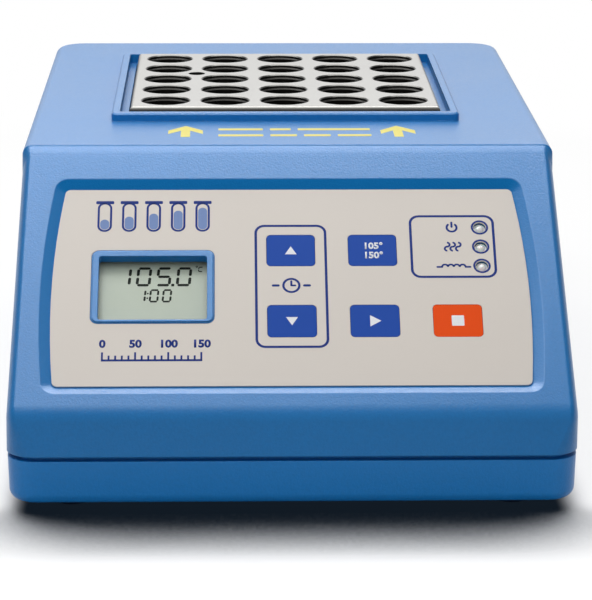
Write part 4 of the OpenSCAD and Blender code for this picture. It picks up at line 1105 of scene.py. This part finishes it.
class REACTOR_OT_key_print(Operator):
    """Prints the marks on the keys"""

    bl_idname = "reactor.key_print"
    bl_label = "Print keys"

    # Sizes of the arrows, the play triangle and the stop square
    TRIANGLE, PLAY, SQUARE = 4.4, 5.0, 4.2
    # Height of the figures, and from the middle of the key to a row of them
    FIGURES, ROW = 2.95, 1.95

    def execute(self, context):
        self.lay(Print().triangle(self.TRIANGLE, (0, -0.5)), "key_timer_up")
        self.lay(Print().triangle(self.TRIANGLE, (0, 0.5), 180), "key_timer_down")
        figures = Print()
        for text, up in (("105°", self.ROW), ("150°", -self.ROW)):
            figures.number(text, self.FIGURES, (0.3, up), 0.04)
        self.lay(figures, "key_temperature")
        self.lay(Print().triangle(self.PLAY, (-0.4, 0), -90), "key_start")
        self.lay(Print().block(self.SQUARE, self.SQUARE, (0, 0), 0.3), "key_stop")
        return {"FINISHED"}

    def lay(self, marks, node):
        marks.lay(f"{node}_mark", on_panel(node), material("key_ink"), body_of(node), slot_of(node))


class REACTOR_OT_display(Operator):
    """Finishes the display and sets its segments"""

    bl_idname = "reactor.display"
    bl_label = "Finish display"

    # Segments of a digit as (column, row, upright): the top, upper right, lower right, bottom,
    # lower left, upper left and middle ones, in halves of its width and height from the centre
    PLACES = ((0, 2, 0), (1, 1, 1), (1, -1, 1), (0, -2, 0), (-1, -1, 1), (-1, 1, 1), (0, 0, 0))
    LIT = {"0": (0, 1, 2, 3, 4, 5), "1": (1, 2), "5": (0, 2, 3, 5, 6), "C": (0, 3, 4, 5)}
    SLANT = 0.085
    # Figures, middle of the first one, step to the next, width and line of the two rows and the unit
    UPPER = ("1050", -10.65, 7.75, 6.83, 5.1, 1.0)
    LOWER = ("100", -4.0, -0.1, 4.37, 3.25, 0.7)
    UNIT = ("C", 15.2, 10.8, 0, 1.7, 0.4)
    UNIT_HEIGHT = 2.2
    # Diameter, line and middle of the degree ring
    DEGREE = (0.55, 0.22, (13.8, 11.9))
    # Side and place of the point in the upper row, and size, place and spread of the lower row's colon
    POINT, POINT_AT = 1.05, 6.3
    COLON, COLON_AT, COLON_SPREAD = (0.55, 0.6), -1.85, 0.95

    def execute(self, context):
        dress_all("display_window", "lcd_glass", "lcd_holder")
        segments = Print()
        tall, small = sizes().digit_height / MM, sizes().small_digit_height / MM
        heights = ((self.UPPER, tall), (self.LOWER, small), (self.UNIT, self.UNIT_HEIGHT))
        for (figures, x, y, step, width, line), height in heights:
            for k, figure in enumerate(figures):
                self.digit(segments, figure, (x + step * k, y), width, height, line)
        foot = self.UPPER[2] - tall / 2 + 0.5
        segments.block(self.POINT, self.POINT, (self.POINT_AT, foot), 0.25)
        for side in (-1, 1):
            dot = (self.COLON_AT, self.LOWER[2] + side * self.COLON_SPREAD)
            segments.block(*self.COLON, dot, 0.15)
        segments.ring(*self.DEGREE)
        segments.shear(self.SLANT)
        place = on_panel("display_window", "lcd_glass", GLASS_THICKNESS)
        segments.lay("display_segments", place, material("segment_ink"), "housing", "display_glass")
        return {"FINISHED"}

    def digit(self, segments, figure, at, width, height, line):
        """The lit segments of one figure, with pointed ends."""
        gap = line * 0.16
        for number in self.LIT[figure]:
            column, row, upright = self.PLACES[number]
            run = (height / 2 if upright else width) - line - gap
            centre = (at[0] + column * (width - line) / 2, at[1] + row * (height - line) / 4)
            segments.block(run, line, centre, line * 0.36, 90 * upright, 1)


class REACTOR_OT_power_inlet(Operator):
    """Finishes the mains inlet, its switch and its fuse drawer"""

    bl_idname = "reactor.power_inlet"
    bl_label = "Finish mains inlet"

    def execute(self, context):
        dress_all("power_inlet", "inlet_pins", "inlet_screws", "rocker_switch", "fuse_drawer", "fuses")
        self.switch_marks()
        return {"FINISHED"}

    def switch_marks(self):
        """A bar and a ring on the two halves of the rocker."""
        low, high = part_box("rocker_switch")
        rocker = bpy.data.objects["rocker_switch_surface"]
        for name, share in (("on", 0.76), ("off", 0.24)):
            start = Vector(((low.x + high.x) / 2, high.y + 0.02, low.z + (high.z - low.z) * share))
            hit, point, out, _ = rocker.ray_cast(start, Vector((0, -1, 0)))
            if not hit:
                raise RuntimeError(f"the rocker has no face at its {name} mark")
            marks = Print().block(0.8, 3.6) if name == "on" else Print().ring(3.2, 0.7)
            place = facing(out, point, Vector((-1, 0, 0)))
            finish = material("switch_ink")
            marks.lay(f"rocker_{name}_mark", place, finish, "rocker", "black_plastic", 0.12 * MM)


class REACTOR_OT_inner_parts(Operator):
    """Gives every other part inside the housing its material"""

    bl_idname = "reactor.inner_parts"
    bl_label = "Finish inner parts"

    def execute(self, context):
        for node, part in frame["nodes"].items():
            if not part.hide_render:
                part.material_slots[0].material = material(slot_of(node))
        return {"FINISHED"}


STEPS = (
    REACTOR_OT_stage, REACTOR_OT_housing, REACTOR_OT_shoulder, REACTOR_OT_block, REACTOR_OT_panel,
    REACTOR_OT_display, REACTOR_OT_power_inlet, REACTOR_OT_inner_parts, REACTOR_OT_panel_print,
    REACTOR_OT_key_print, REACTOR_OT_deck_marks,
)


class REACTOR_PT_steps(Panel):
    """Lists the steps that build the reactor's looks"""

    bl_idname = "REACTOR_PT_steps"
    bl_label = "Sample Vial Reactor"
    bl_space_type = "VIEW_3D"
    bl_region_type = "UI"
    bl_category = "Reactor"

    def draw(self, context):
        for step in STEPS:
            self.layout.operator(step.bl_idname)
        for settings in (sizes(), colours()):
            box = self.layout.box()
            for name in settings.__annotations__:
                box.prop(settings, name)


CLASSES = (ReactorColours, ReactorSizes, *STEPS, REACTOR_PT_steps)


def register():
    for each in CLASSES:
        bpy.utils.register_class(each)
    bpy.types.Scene.reactor_colours = PointerProperty(type=ReactorColours)
    bpy.types.Scene.reactor_sizes = PointerProperty(type=ReactorSizes)


def unregister():
    del bpy.types.Scene.reactor_sizes
    del bpy.types.Scene.reactor_colours
    for each in reversed(CLASSES):
        bpy.utils.unregister_class(each)


def main():
    register()
    for step in STEPS:
        getattr(bpy.ops.reactor, step.bl_idname.removeprefix("reactor."))()


if __name__ == "__main__":
    main()
